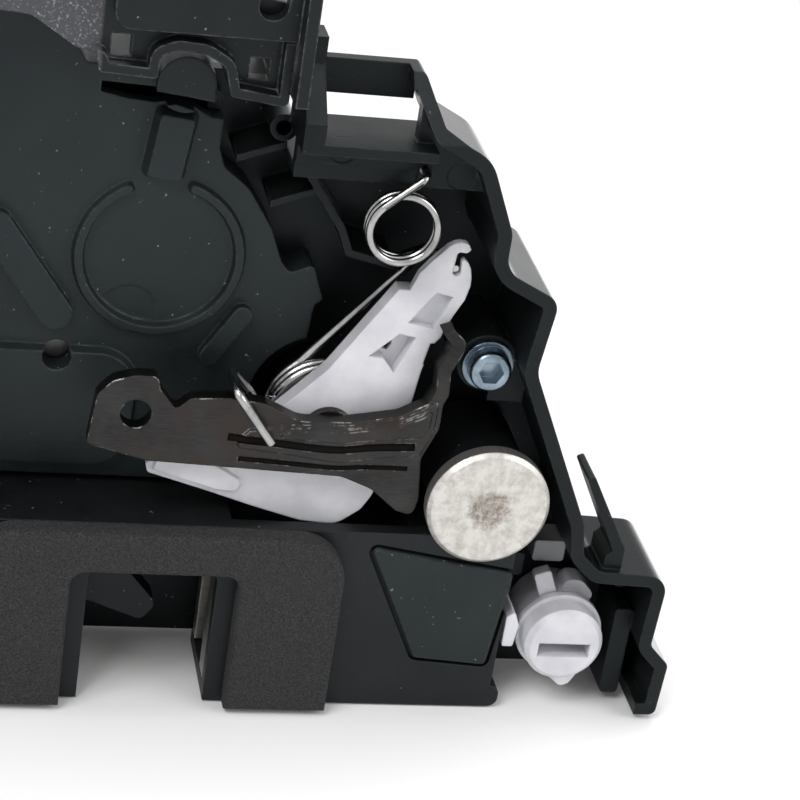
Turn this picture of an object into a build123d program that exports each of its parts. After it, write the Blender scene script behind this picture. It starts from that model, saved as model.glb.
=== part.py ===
# Car side-door latch actuator, as an assembly of separate pieces. Millimetres.
# +X is to the right seen from the door skin, +Y is depth away from the door skin, +Z is up.
# The origin is where the striker bar rests, in the middle of the mouth, on the front face.

from math import cos, degrees, pi, radians, sin, tan
import os

from build123d import *

os.makedirs("parts", exist_ok=True)

# driving dimensions
# depths, front to back
wall_front = -2.0          # front edge of the case's side wall
floor_front = 15.0         # front of the case floor
floor_thick = 2.0
cover_front = 9.8          # front of the actuator cover
cover_skin = 1.8
rear_depth = 29.5          # back of the rear cover
wall = 1.6                 # side walls of the mouldings
seat_gap = 0.3             # what soft and separately held pieces keep from their seat
slip = 0.15                # plates in their pockets
press = 0.02               # pins in plates, bushes in bosses
running = 0.05             # turning fits, radial

# striker mouth and latch housing
mouth_half = 7.7
mouth_top = 4.6
housing_left = -46.0
housing_right = 43.8
housing_bottom = -14.2
ledge_top = 10.3
ledge_lip = 2.0            # thickness of the front lip of the ledge
trough_floor = 6.5
housing_rear = 13.4
housing_wall = 1.8
tower_right = -26.0
tower_top = 36.0
tower_back = 9.6

# foam seal
foam_half = 22.6
foam_thick = 2.7
foam_top = 10.4
foam_bottom = -13.8
foam_leg = 12.6
foam_crown = 5.4           # foam above the mouth

# steel plates, catch and pawl
plate_thick = 3.0
back_plate_front = 10.6
back_plate_thick = 2.0
thread_radius = 2.5        # tapping drill of an M6 screw
collar_radius = 5.0
screw_x = -38.0
screw_low = -6.5
screw_high = 28.0
claw_front = 6.9
claw_thick = 3.2
catch_x = -12.5
catch_z = 2.0
catch_pin_radius = 3.0
catch_hub = 6.6
catch_swing = 46.0
tooth_radius = 9.2
striker_radius = 4.0
pawl_x = -27.5
pawl_z = -8.0
pawl_pin_radius = 2.5
catch_eye = (catch_x - 0.4, catch_z + 5.3)      # takes the spring's moving end
catch_anchor = (catch_x - 2.1, catch_z - 7.1)   # holds its fixed end in the mounting plate
pawl_anchor = (pawl_x + 5.4, pawl_z - 3.1)

# levers in front of the case floor
hub_x = 18.8
hub_z = 22.6
hub_pin_radius = 1.6
pin_collar = 3.1           # collar of the pin between the two levers
outer_front = -0.5
outer_thick = 2.0
release_front = 2.6
release_thick = 2.4
hub_collar = 5.6
wire_lever = 1.1
wire_return = 0.9
fine_wire = 0.7            # wire of the springs on the catch and the pawl
wire_slip = 0.1
coil_lead = 1.12           # step from turn to turn, of the wire's thickness
bend_reach = 1.1           # mean radius of a bend, of the wire's thickness
leg_lead = 1.2
straight_enough = 1.0      # degrees
wire_seat = (31.1, 44.0)    # slot of the release lever where the return spring ends
band_thick = 0.35          # step of the outer lever's pressed bands

# post, screw and key coupling
post_x = 38.5
post_z = 15.8
post_head = 7.5
post_head_thick = 2.2
post_boss = 6.2
post_shank = 3.5
boss_screw_x = 36.9
boss_screw_z = 32.0
key_x = 52.0
key_z = -4.4
key_radius = 5.0
key_front = -1.0
bay_floor = 10.0           # front of the coupling bay's floor
bay_back = 12.0
bay_left = 44.1
bay_top = 9.0

# gear train
gear_x = -2.3
gear_z = 40.5
tooth_module = 0.8
wheel_teeth = 24
pinion_teeth = 12
worm_pitch_radius = 2.4
worm_y = 19.5
wheel_thick = 4.2
backlash = 0.25
axle_radius = 1.5
shaft_radius = 1.0

case_back = floor_front + floor_thick
plate_front = housing_wall
plate_back = plate_front + plate_thick
back_plate_back = back_plate_front + back_plate_thick
claw_back = claw_front + claw_thick
outer_back = outer_front + outer_thick
release_back = release_front + release_thick
pin_front = outer_front + 0.9
wheel_front = worm_y - wheel_thick / 2
wheel_back = worm_y + wheel_thick / 2
wheel_pitch_radius = tooth_module * wheel_teeth / 2
pinion_pitch_radius = tooth_module * pinion_teeth / 2
worm_x = gear_x - wheel_pitch_radius - worm_pitch_radius
post_head_front = outer_front - 2.5


def at(depth):
    # sketch plane at this depth, seen from the door skin with x to the right and z up
    return Plane.XZ.offset(-depth)


def polar(centre_x, centre_z, radius, angle):
    return (centre_x + radius * cos(radians(angle)), centre_z + radius * sin(radians(angle)))


# case
# outer outline of the side wall and the floor, from the cable pocket clockwise
wall_points = [
    (13.0, 70.0), (13.0, 66.9), (24.4, 66.9), (25.4, 64.6), (26.4, 62.4), (31.9, 59.6), (35.6, 51.0), (35.6, 46.4), (42.6, 43.0),
    (41.5, 33.8), (51.0, 13.6), (51.7, 9.4), (54.2, 7.1), (63.2, 6.7), (62.8, -3.3), (65.6, -6.1), (65.3, housing_bottom + 0.6),
]
wall_radii = [0.5, 0.5, 0.8, 3, 0.8, 5, 3, 3, 2.2, 4, 5, 1.6, 1.6, 2.6, 1.2, 1.2, 0.9]
case_left = housing_left
pocket_left = 10.6
floor_top_right = 54.4
floor_top_middle = 61.8
floor_top_left = 70.0
notch_left = -14.0

with BuildSketch() as case_shape:
    with BuildLine():
        FilletPolyline(
            *wall_points, (housing_left, housing_bottom + 0.6), (housing_left, 70.0),
            radius=wall_radii + [2, 0.8], close=True,
        )
    make_face()

with BuildSketch() as wall_shape:
    add(case_shape.sketch)
    offset(amount=-wall, kind=Kind.INTERSECTION, mode=Mode.SUBTRACT)
    with Locations(((housing_left + pocket_left) / 2, 30)):
        Rectangle(pocket_left - housing_left + 2 * wall, 200, mode=Mode.SUBTRACT)
    with Locations((20, housing_bottom)):
        Rectangle(85, 2 * wall + 2, mode=Mode.SUBTRACT)
    with Locations((17.0, 67.0)):
        Rectangle(12.0, 10.0, mode=Mode.SUBTRACT)

window_points = [(-42.0, 12.6), (7.5, 12.6), (7.5, 47.0), (1.2, 53.0), (1.2, 59.0), (-42.0, 59.0)]
panel_front = 2.0
panel_thick = 2.0
panel_step = 0.5
mark_depth = 0.12
panel_bottom = 54.3
pocket_floor = 59.6
pocket_roof = 66.9
bar_bottom = 62.8
pocket_right = 24.0
pocket_back = 9.0
post_wide = 2.4
screw_boss_front = 3.6
hub_boss_front = 9.2
rib_front = 8.0
leg_hole_x = 25.4
leg_hole_z = 56.4

with BuildPart() as case:
    with BuildSketch(at(case_back)):
        add(case_shape.sketch)
        with Locations((45, floor_top_right + 20)):
            Rectangle(2 * (45 - pocket_left), 40, mode=Mode.SUBTRACT)
        with Locations(((notch_left + pocket_left) / 2, floor_top_middle + 20)):
            Rectangle(pocket_left - notch_left, 40, mode=Mode.SUBTRACT)
        with Locations((bay_left + 20, bay_top - 20)):
            Rectangle(40, 40, mode=Mode.SUBTRACT)
        with BuildLine():
            FilletPolyline(*window_points, radius=2, close=True)
        make_face(mode=Mode.SUBTRACT)
    extrude(amount=floor_thick)
    # side wall, full depth beside the floor and shallower round the bay and the cable pocket
    with BuildSketch(at(case_back)):
        add(wall_shape.sketch)
        with Locations((30, bay_top - 20)):
            Rectangle(200, 40, mode=Mode.SUBTRACT)
        with Locations((30, floor_top_right + 20)):
            Rectangle(200, 40, mode=Mode.SUBTRACT)
    extrude(amount=case_back - wall_front)
    with BuildSketch(at(bay_back)):
        add(wall_shape.sketch)
        with Locations((30, bay_top + 40)):
            Rectangle(200, 80, mode=Mode.SUBTRACT)
    extrude(amount=bay_back - wall_front)
    with BuildSketch(at(pocket_back)):
        add(wall_shape.sketch)
        with Locations((30, floor_top_right - 50)):
            Rectangle(200, 100, mode=Mode.SUBTRACT)
    extrude(amount=pocket_back - wall_front)
    # coupling bay: floor, and the web that steps back to the case floor
    with BuildSketch(at(bay_back)):
        add(case_shape.sketch)
        with Locations((bay_left - 60, 20)):
            Rectangle(120, 200, mode=Mode.SUBTRACT)
        with Locations((50, bay_top + 50)):
            Rectangle(100, 100, mode=Mode.SUBTRACT)
    extrude(amount=bay_back - bay_floor)
    with BuildSketch(at(case_back)):
        with Locations((bay_left + wall / 2, (bay_top + housing_bottom) / 2)):
            Rectangle(wall, bay_top - housing_bottom - 1.2)
        with Locations(((bay_left + 51.0) / 2, bay_top + wall / 2)):
            Rectangle(51.0 - bay_left, wall)
    extrude(amount=case_back - bay_floor)
    with Locations(Plane(origin=(key_x, bay_back, key_z), z_dir=(0, 1, 0))):
        Hole(3.0 + running, depth=6)
    # peg under the bay's roof, and the lug left of the coupling
    with BuildSketch(at(bay_floor)):
        with Locations((59.4, 4.0)):
            RectangleRounded(1.5, 5.0, 0.4)
    extrude(amount=bay_floor - 4.0)
    with BuildSketch(at(bay_floor)):
        with Locations((45.6, 3.5)):
            RectangleRounded(2.4, 3.2, 0.5)
    extrude(amount=bay_floor - 5.4)
    # flap along the outer wall, with its foot
    with BuildSketch(at(5.0)):
        with BuildLine():
            FilletPolyline(
                (50.6, 19.4), (51.5, 19.8), (57.1, 9.9), (57.1, 6.0), (54.8, 6.0), (54.8, 8.8), (55.6, 9.6),
                radius=0.3, close=True,
            )
        make_face()
    extrude(amount=6.0)
    # upright guide rib in the bay
    with BuildSketch(at(bay_floor)):
        with Locations((60.0, -6.8)):
            RectangleRounded(2.4, 12.4, 0.6)
    extrude(amount=bay_floor - 2.0)
    # cable pocket: panel, floor, posts, roof and back bar
    with BuildSketch(at(panel_front + panel_thick)):
        add(case_shape.sketch)
        with Locations((pocket_left - 50, 20)):
            Rectangle(100, 200, mode=Mode.SUBTRACT)
        with Locations((40, panel_bottom - 50)):
            Rectangle(100, 100, mode=Mode.SUBTRACT)
        with Locations(((pocket_left + pocket_right) / 2, pocket_floor + 20)):
            Rectangle(pocket_right - pocket_left, 40, mode=Mode.SUBTRACT)
    extrude(amount=panel_thick)
    with BuildSketch(at(pocket_back)):
        with Locations(((pocket_left + 26) / 2, pocket_floor - 0.6)):
            Rectangle(26 - pocket_left, 1.2)
        with Locations((pocket_left + post_wide / 2, (pocket_floor + 70.0) / 2)):
            Rectangle(post_wide, 70.0 - pocket_floor)
    extrude(amount=pocket_back - wall_front - 1)
    with BuildSketch(at(pocket_back)):
        with Locations(((pocket_left + pocket_right) / 2, (pocket_roof + bar_bottom) / 2)):
            Rectangle(pocket_right - pocket_left, pocket_roof - bar_bottom)
    extrude(amount=wall)
    # the pocket's side walls lean back towards the bar
    with BuildSketch(Plane.YZ.offset(pocket_left)):
        with BuildLine():
            Polyline((-3.0, 60.2), (5.0, pocket_roof), (5.0, 71.0), (-3.0, 71.0), close=True)
        make_face()
    extrude(amount=20.0, mode=Mode.SUBTRACT)
    # lower band of the panel, and the ejector marks
    with BuildSketch(at(panel_front + panel_step)):
        with Locations(((pocket_left + 24.6) / 2, (panel_bottom + 56.3) / 2)):
            Rectangle(24.6 - pocket_left, 56.3 - panel_bottom)
    extrude(amount=panel_step, mode=Mode.SUBTRACT)
    with BuildSketch(at(panel_front + mark_depth)):
        with Locations((15.7, 58.2), (29.7, 55.9)):
            Circle(1.7)
    extrude(amount=mark_depth, mode=Mode.SUBTRACT)
    # web from the panel back to the floor
    with BuildSketch(at(case_back)):
        with Locations(((pocket_left + 33.5) / 2, panel_bottom + 0.6)):
            Rectangle(33.5 - pocket_left, 1.2)
    extrude(amount=case_back - panel_front - panel_thick)
    # bosses: screw, lever pin
    with BuildSketch(at(floor_front)):
        with Locations((boss_screw_x, boss_screw_z)):
            Circle(3.6)
        with Locations((boss_screw_x + 3.0, boss_screw_z - 2.0)):
            Rectangle(4.4, 6.0)
    extrude(amount=floor_front - screw_boss_front)
    with BuildSketch(at(floor_front)):
        with Locations((hub_x, hub_z)):
            Circle(hub_collar)
    extrude(amount=floor_front - hub_boss_front)
    with Locations(Plane(origin=(hub_x, case_back, hub_z), z_dir=(0, 1, 0))):
        Hole(hub_pin_radius + press, depth=floor_thick + floor_front)
    with Locations(Plane(origin=(boss_screw_x, screw_boss_front, boss_screw_z), z_dir=(0, -1, 0))):
        Hole(1.5 + press, depth=9)
    with Locations(Plane(origin=(leg_hole_x, panel_front, leg_hole_z), z_dir=(0, -1, 0))):
        Hole(wire_return / 2 + 0.2, depth=panel_thick)
    # partition rib between the levers and the recess beside the gears
    with BuildSketch(at(floor_front)):
        with BuildLine():
            Polyline((11.4, 53.8), (13.6, 53.4), (18.4, 46.6), (19.6, 43.8), (24.8, 42.6), (24.8, 41.7),
                     (18.9, 43.1), (17.6, 46.2), (13.1, 52.5), (11.4, 52.9), close=True)
        make_face()
    extrude(amount=8.0)
    # stiffening ribs and a locating boss in the recess beside the gears
    with BuildSketch(at(floor_front)):
        with BuildLine():
            Polyline((5.0, 53.4), (10.5, 55.5), (10.5, 56.3), (5.0, 54.2), close=True)
        make_face()
        with BuildLine():
            Polyline((9.5, 48.1), (14.9, 50.2), (14.9, 51.0), (9.5, 48.9), close=True)
        make_face()
        with Locations((9.9, 57.9)):
            Circle(1.6)
    extrude(amount=floor_front - rib_front)
    with Locations(Plane(origin=(9.9, rib_front, 57.9), z_dir=(0, -1, 0))):
        Hole(0.9, depth=4)

# latch housing
catch_room = [
    (housing_left + housing_wall, housing_bottom + housing_wall), (foam_half - 0.2, housing_bottom + housing_wall),
    (foam_half - 0.2, trough_floor - 1.4), (8.4, trough_floor - 1.4), (8.4, ledge_top - 1.4),
    (tower_right - housing_wall, ledge_top - 1.4), (tower_right - housing_wall, tower_top - housing_wall),
    (housing_left + housing_wall, tower_top - housing_wall),
]
panel_outline = [(25.6, 8.4), (44.0, 5.4), (42.5, -8.0), (33.2, -7.2)]
cover_step = 1.0

with BuildSketch() as mouth_shape:
    with BuildLine():
        FilletPolyline(
            (-mouth_half, housing_bottom - 4), (mouth_half, housing_bottom - 4),
            (mouth_half, mouth_top), (-mouth_half, mouth_top), radius=[0, 0, 2, 2], close=True,
        )
    make_face()

with BuildPart() as latch_housing:
    with BuildSketch(at(housing_rear)):
        with BuildLine():
            FilletPolyline(
                (housing_left, housing_bottom), (housing_right, housing_bottom), (housing_right, ledge_top),
                (tower_right, ledge_top), (tower_right, tower_top), (housing_left, tower_top),
                radius=[2, 1, 0.8, 2, 3, 3], close=True,
            )
        make_face()
        with Locations((post_x, post_z)):
            Circle(post_boss)
    extrude(amount=housing_rear)
    with BuildSketch(at(0)):
        with Locations((post_x, post_z)):
            Circle(post_boss)
    extrude(amount=-post_head_front - post_head_thick)
    # the tower is shallower than the block, so that the actuator cover passes behind it
    with BuildSketch(at(housing_rear)):
        with Locations(((housing_left + tower_right) / 2, ledge_top + 30)):
            Rectangle(tower_right - housing_left + 2, 60)
    extrude(amount=housing_rear - tower_back, mode=Mode.SUBTRACT)
    # lower bar that runs on under the coupling bay
    with BuildSketch(at(bay_floor - 0.6)):
        with Locations((40.0, housing_bottom + 1.5)):
            RectangleRounded(10.0, 3.0, 1.2)
    extrude(amount=bay_floor - 0.6)
    # mouth, trough behind the ledge's lip, rear rooms
    with BuildSketch(at(housing_rear)):
        add(mouth_shape.sketch)
    extrude(amount=housing_rear, mode=Mode.SUBTRACT)
    with BuildSketch(at(housing_rear)):
        with Locations((19.8, trough_floor + 5)):
            Rectangle(22, 10)
    extrude(amount=housing_rear - ledge_lip, mode=Mode.SUBTRACT)
    with BuildSketch(at(housing_rear)):
        with BuildLine():
            FilletPolyline(*catch_room, radius=0.8, close=True)
        make_face()
    extrude(amount=housing_rear - plate_front, mode=Mode.SUBTRACT)
    with BuildSketch(at(housing_rear)):
        with BuildLine():
            Polyline((24.4, -12.4), (42.0, -12.4), (42.0, 5.0), (30.4, 5.0), (24.4, 5.0), close=True)
        make_face()
    extrude(amount=housing_rear - 3.0, mode=Mode.SUBTRACT)
    # round openings for the plate's threaded collars and the post's bore
    with BuildSketch(at(plate_front)):
        with Locations((screw_x, screw_low), (screw_x, screw_high)):
            Circle(collar_radius + slip)
    extrude(amount=plate_front, mode=Mode.SUBTRACT)
    with BuildSketch(at(housing_rear)):
        with Locations((post_x, post_z)):
            Circle(post_shank + press)
    extrude(amount=housing_rear + 4, mode=Mode.SUBTRACT)
    # sunk field that the latch cover sits in
    with BuildSketch(at(cover_step)):
        with BuildLine():
            FilletPolyline(*panel_outline, radius=0.6, close=True)
        make_face()
        offset(amount=0.45, kind=Kind.INTERSECTION)
    extrude(amount=cover_step, mode=Mode.SUBTRACT)

with BuildPart() as latch_cover:
    with BuildSketch(at(cover_step)):
        with BuildLine():
            FilletPolyline(*panel_outline, radius=0.6, close=True)
        make_face()
    extrude(amount=cover_step + 0.3)
    chamfer(latch_cover.faces().sort_by(Axis.Y)[0].edges(), 0.25)

with BuildPart() as foam_seal:
    with BuildSketch(at(-seat_gap)):
        with BuildLine():
            FilletPolyline(
                (-foam_half, foam_bottom), (-foam_half, foam_top), (foam_half, foam_top), (foam_half, foam_bottom),
                (foam_half - foam_leg, foam_bottom), (foam_half - foam_leg, foam_top - foam_crown),
                (foam_leg - foam_half, foam_top - foam_crown), (foam_leg - foam_half, foam_bottom),
                radius=[0.8, 6, 6, 0.8, 0.8, 1.8, 1.8, 0.8], close=True,
            )
        make_face()
    extrude(amount=foam_thick)

# steel plates
with BuildPart() as mount_plate:
    with BuildSketch(at(plate_back)):
        with BuildLine():
            FilletPolyline(*catch_room, radius=0.8, close=True)
        make_face()
        offset(amount=-slip, kind=Kind.INTERSECTION)
    extrude(amount=plate_thick)
    with BuildSketch(at(plate_front)):
        with Locations((screw_x, screw_low), (screw_x, screw_high)):
            Circle(collar_radius)
    extrude(amount=plate_front)
    with BuildSketch(at(plate_back)):
        with Locations((screw_x, screw_low), (screw_x, screw_high)):
            Circle(thread_radius)
    extrude(amount=plate_back + 1, mode=Mode.SUBTRACT)
    with BuildSketch(at(plate_back)):
        add(mouth_shape.sketch)
        with Locations((catch_x, catch_z)):
            Circle(catch_pin_radius + press)
        with Locations((pawl_x, pawl_z)):
            Circle(pawl_pin_radius + press)
        with Locations(catch_anchor, pawl_anchor):
            Circle(fine_wire / 2 + wire_slip)
    extrude(amount=plate_thick, mode=Mode.SUBTRACT)

with BuildPart() as back_plate:
    with BuildSketch(at(back_plate_back)):
        with BuildLine():
            FilletPolyline(
                (-35.0, -12.2), (22.2, -12.2), (22.2, 4.9), (8.2, 4.9), (8.2, 8.7), (-35.0, 8.7),
                radius=[2, 1, 1, 0.8, 1, 2], close=True,
            )
        make_face()
        add(mouth_shape.sketch, mode=Mode.SUBTRACT)
        with Locations((catch_x, catch_z)):
            Circle(catch_pin_radius + press, mode=Mode.SUBTRACT)
        with Locations((pawl_x, pawl_z)):
            Circle(pawl_pin_radius + press, mode=Mode.SUBTRACT)
    extrude(amount=back_plate_thick)

# catch, pawl and their pins
open_turn = -catch_swing


def catch_at(radius, angle):
    return polar(catch_x, catch_z, radius, angle + open_turn)


with BuildPart() as catch:
    with BuildSketch(at(claw_back)):
        with Locations((catch_x, catch_z)):
            Circle(catch_hub)
        with BuildLine():
            FilletPolyline(
                catch_at(5.0, -24), catch_at(8.3, -5), catch_at(15.6, 9.6), catch_at(16.0, 20),
                catch_at(9.0, 42), catch_at(4.0, 80), radius=[0, 1.6, 1.0, 1.4, 3, 0], close=True,
            )
        make_face()
        with BuildLine():
            FilletPolyline(
                catch_at(3.0, -100), catch_at(7.4, -78), catch_at(12.6, -50), catch_at(13.6, -31),
                catch_at(9.4, -26), catch_at(3.0, 0), radius=[0, 3, 2, 0.9, 1.8, 0], close=True,
            )
        make_face()
        with BuildLine():
            tooth_top = Line(catch_at(4.0, 182), catch_at(tooth_radius, 182))
            tooth_rim = RadiusArc(tooth_top @ 1, catch_at(tooth_radius, 224), -tooth_radius)
            Line(tooth_rim @ 1, catch_at(4.0, 250))
            Line(catch_at(4.0, 250), tooth_top @ 0)
        make_face()
        with Locations((catch_x, catch_z)):
            Circle(catch_pin_radius + running, mode=Mode.SUBTRACT)
        with Locations(catch_eye):
            Circle(fine_wire / 2 + wire_slip, mode=Mode.SUBTRACT)
    extrude(amount=claw_thick)

with BuildPart() as catch_pin:
    with BuildSketch(at(back_plate_back)):
        with Locations((catch_x, catch_z)):
            Circle(catch_pin_radius)
    extrude(amount=back_plate_back - plate_front - 0.2)
    with BuildSketch(at(back_plate_back + 0.7)):
        with Locations((catch_x, catch_z)):
            Circle(catch_pin_radius + 1.2)
    extrude(amount=0.7)

pawl_reach = catch_x - tooth_radius - seat_gap - 0.1

with BuildPart() as pawl:
    with BuildSketch(at(claw_back)):
        with Locations((pawl_x, pawl_z)):
            Circle(4.2)
        with BuildLine():
            FilletPolyline(
                (pawl_x - 3.0, pawl_z - 2.0), (pawl_x + 3.4, pawl_z - 2.0), (pawl_x + 3.2, 1.9),
                (pawl_reach, 2.3), (pawl_reach, 5.6), (pawl_x - 0.6, 5.8), (pawl_x - 3.4, -2.0),
                radius=[0, 0, 0.8, 0.5, 1, 1.6, 3], close=True,
            )
        make_face()
        with BuildLine():
            FilletPolyline(
                (pawl_x, pawl_z + 3.4), (pawl_x - 12.0, pawl_z + 1.6), (pawl_x - 12.0, pawl_z - 1.4),
                (pawl_x, pawl_z - 3.4), radius=[0, 1, 1, 0], close=True,
            )
        make_face()
        with Locations((pawl_x, pawl_z)):
            Circle(pawl_pin_radius + running, mode=Mode.SUBTRACT)
    extrude(amount=claw_thick)

with BuildPart() as pawl_pin:
    with BuildSketch(at(back_plate_back)):
        with Locations((pawl_x, pawl_z)):
            Circle(pawl_pin_radius)
    extrude(amount=back_plate_back - plate_front - 0.2)
    with BuildSketch(at(back_plate_back + 0.7)):
        with Locations((pawl_x, pawl_z)):
            Circle(pawl_pin_radius + 1.1)
    extrude(amount=0.7)

# rod that pushes the pawl's tail down, and the rubber stop of the open catch
rod_x = pawl_x - 10.0
rod_wide = 3.0
rod_foot = pawl_z + 2.3
with BuildPart() as trip_rod:
    with BuildSketch(at(claw_front + 2.3)):
        with Locations((rod_x, (rod_foot + 22.0) / 2)):
            RectangleRounded(rod_wide, 22.0 - rod_foot, 0.48 * rod_wide)
        with Locations((rod_x, 22.0)):
            Circle(3.0)
        with Locations((rod_x, 22.0)):
            Circle(1.5, mode=Mode.SUBTRACT)
    extrude(amount=2.0)

with BuildPart() as catch_buffer:
    with BuildSketch(at(back_plate_front - 0.1)):
        with Locations((-18.0, housing_bottom + housing_wall + 1.9)):
            RectangleRounded(4.6, 3.6, 0.8)
    extrude(amount=back_plate_front - plate_back - 0.2)


# springs
def coil_point(coil, turn):
    # point of a coil after this many turns; a sense of 1 runs anticlockwise, seen from the front, as it goes back
    centre_x, centre_z, front, mean_radius, wire, turns, start_angle, sense = coil
    x, z = polar(centre_x, centre_z, mean_radius, start_angle + 360 * sense * turn)
    return Vector(x, front + wire * coil_lead * turn, z)


def coil_runs(coil):
    # half turns in planes that lean either way in turn, so that the wire climbs without a kink
    heading = Vector(-sin(radians(coil[6])), 0, cos(radians(coil[6]))) * coil[7]
    runs = []
    turn = 0.0
    while turn < coil[5]:
        start, half_on = coil_point(coil, turn), coil_point(coil, turn + 0.5)
        middle = (start + half_on) / 2
        lean = heading.cross(half_on - start)
        angle = min(0.5, coil[5] - turn) * 360
        runs.append((start, heading, Axis(middle, lean), angle))
        heading = heading.rotate(Axis((0, 0, 0), lean), angle)
        end = middle + (start - middle).rotate(Axis((0, 0, 0), lean), angle)
        turn += 0.5
    return runs, end, heading


def leg_runs(corners, wire):
    # straight runs with a round bend at each corner
    runs = []
    start = corners[0]
    for before, corner, after in zip(corners, corners[1:], corners[2:]):
        inward, outward = (corner - before).normalized(), (after - corner).normalized()
        angle = inward.get_angle(outward)
        if angle < straight_enough:
            continue
        reach = wire * bend_reach * tan(radians(angle / 2))
        hinge = inward.cross(outward).normalized()
        bend_start = corner - inward * reach
        runs.append((start, inward, None, (bend_start - start).length))
        runs.append((bend_start, inward, Axis(bend_start + hinge.cross(inward) * wire * bend_reach, hinge), angle))
        start = corner + outward * reach
    runs.append((start, (corners[-1] - start).normalized(), None, (corners[-1] - start).length))
    return runs


def wound_spring(coil, first_leg, last_leg):
    # one length of round wire: first leg, coil about a line of depth, last leg
    wire = coil[4]
    turning, coil_end, heading = coil_runs(coil)
    coil_start = turning[0][0]
    lead = wire * leg_lead
    first_leg = [Vector(*point) for point in first_leg] + [coil_start - turning[0][1] * lead, coil_start]
    last_leg = [coil_end, coil_end + heading * lead] + [Vector(*point) for point in last_leg]
    with BuildPart() as spring:
        for start, direction, hinge, amount in leg_runs(first_leg, wire) + turning + leg_runs(last_leg, wire):
            with BuildSketch(Plane(origin=start, z_dir=direction)):
                Circle(wire / 2)
            if hinge:
                revolve(axis=hinge, revolution_arc=amount)
            else:
                extrude(amount=amount)
    return spring


hook_y = outer_front - band_thick - wire_lever / 2 - 0.1
lever_coil = (hub_x, hub_z, 5.8, hub_collar + wire_lever / 2 + 0.35, wire_lever, 2.13, 178, -1)
lever_end = coil_point(lever_coil, lever_coil[5])
lever_spring = wound_spring(
    lever_coil, [(11.6, hook_y, 22.6), (6.9, hook_y, 28.9), (6.9, 4.4, 28.9), (9.4, 5.8, 25.8)],
    [(26.3, lever_end.Y, 41.2), (28.4, lever_end.Y - 0.6, 44.7)],
)

return_coil = (23.6, 49.6, -0.1, 3.95, wire_return, 2.35, 131, 1)
return_end = coil_point(return_coil, return_coil[5])
return_spring = wound_spring(
    return_coil, [(leg_hole_x, panel_front + 1.4, leg_hole_z), (leg_hole_x, -0.1, leg_hole_z)],
    [(27.6, release_back + 0.8, 45.4), (wire_seat[0], release_back + 0.8, wire_seat[1]),
     (wire_seat[0], release_front + 0.6, wire_seat[1])],
)

catch_coil = (catch_x, catch_z, plate_back + 0.6, 4.4, fine_wire, 1.2, 200, -1)
catch_end = coil_point(catch_coil, catch_coil[5])
catch_spring = wound_spring(
    catch_coil, [(catch_anchor[0], 3.0, catch_anchor[1]), (catch_anchor[0], catch_coil[2], catch_anchor[1])],
    [(catch_eye[0], catch_end.Y, catch_eye[1]), (catch_eye[0], claw_front + 1.8, catch_eye[1])],
)

pawl_coil = (pawl_x, pawl_z, plate_back + 0.6, 3.6, fine_wire, 1.25, 270, -1)
pawl_end = coil_point(pawl_coil, pawl_coil[5])
pawl_hook = (pawl_x - 3.1, 0.4)
pawl_spring = wound_spring(
    pawl_coil, [(pawl_anchor[0], 3.0, pawl_anchor[1]), (pawl_anchor[0], pawl_coil[2], pawl_anchor[1])],
    [(pawl_hook[0], pawl_end.Y, pawl_hook[1]), (pawl_hook[0], claw_back - 0.6, pawl_hook[1])],
)

# levers
outer_points = [
    (-9.6, 21.0), (-8.9, 27.4), (-7.3, 29.2), (-4.8, 30.0), (-2.2, 30.0), (-1.8, 28.4), (0.2, 25.9), (1.8, 27.4),
    (6.4, 27.7), (10.5, 27.2), (14.8, 25.1), (20.7, 25.3), (26.5, 26.4), (29.8, 28.3), (31.4, 31.0), (31.4, 25.0),
    (29.8, 20.9), (30.4, 15.6), (29.9, 13.2), (27.8, 13.8), (24.4, 16.6), (20.6, 18.1), (-2.5, 19.1),
]
outer_radii = [0.5, 1.5, 1.5, 1.5, 0.8, 0.6, 0.5, 0.8, 2, 3, 4, 5, 3, 1.5, 0.4, 2, 2, 1, 0.8, 1, 3, 3, 5]
cable_eye = (-4.3, 25.1)
lower_band = [(7.6, 22.4), (9.0, 23.9), (13.4, 24.6), (20.7, 24.9), (26.4, 26.0), (29.4, 27.6), (30.9, 29.6),
              (30.9, 24.6), (29.6, 21.4), (24.6, 20.8), (20.2, 19.9), (13.0, 20.8), (7.8, 21.4)]
upper_band = [(12.4, 23.4), (13.8, 24.3), (20.7, 24.5), (26.3, 25.5), (29.0, 26.8), (30.3, 28.2),
              (30.2, 25.4), (29.2, 23.8), (24.8, 23.4), (20.2, 22.7), (13.0, 22.9)]

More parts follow.
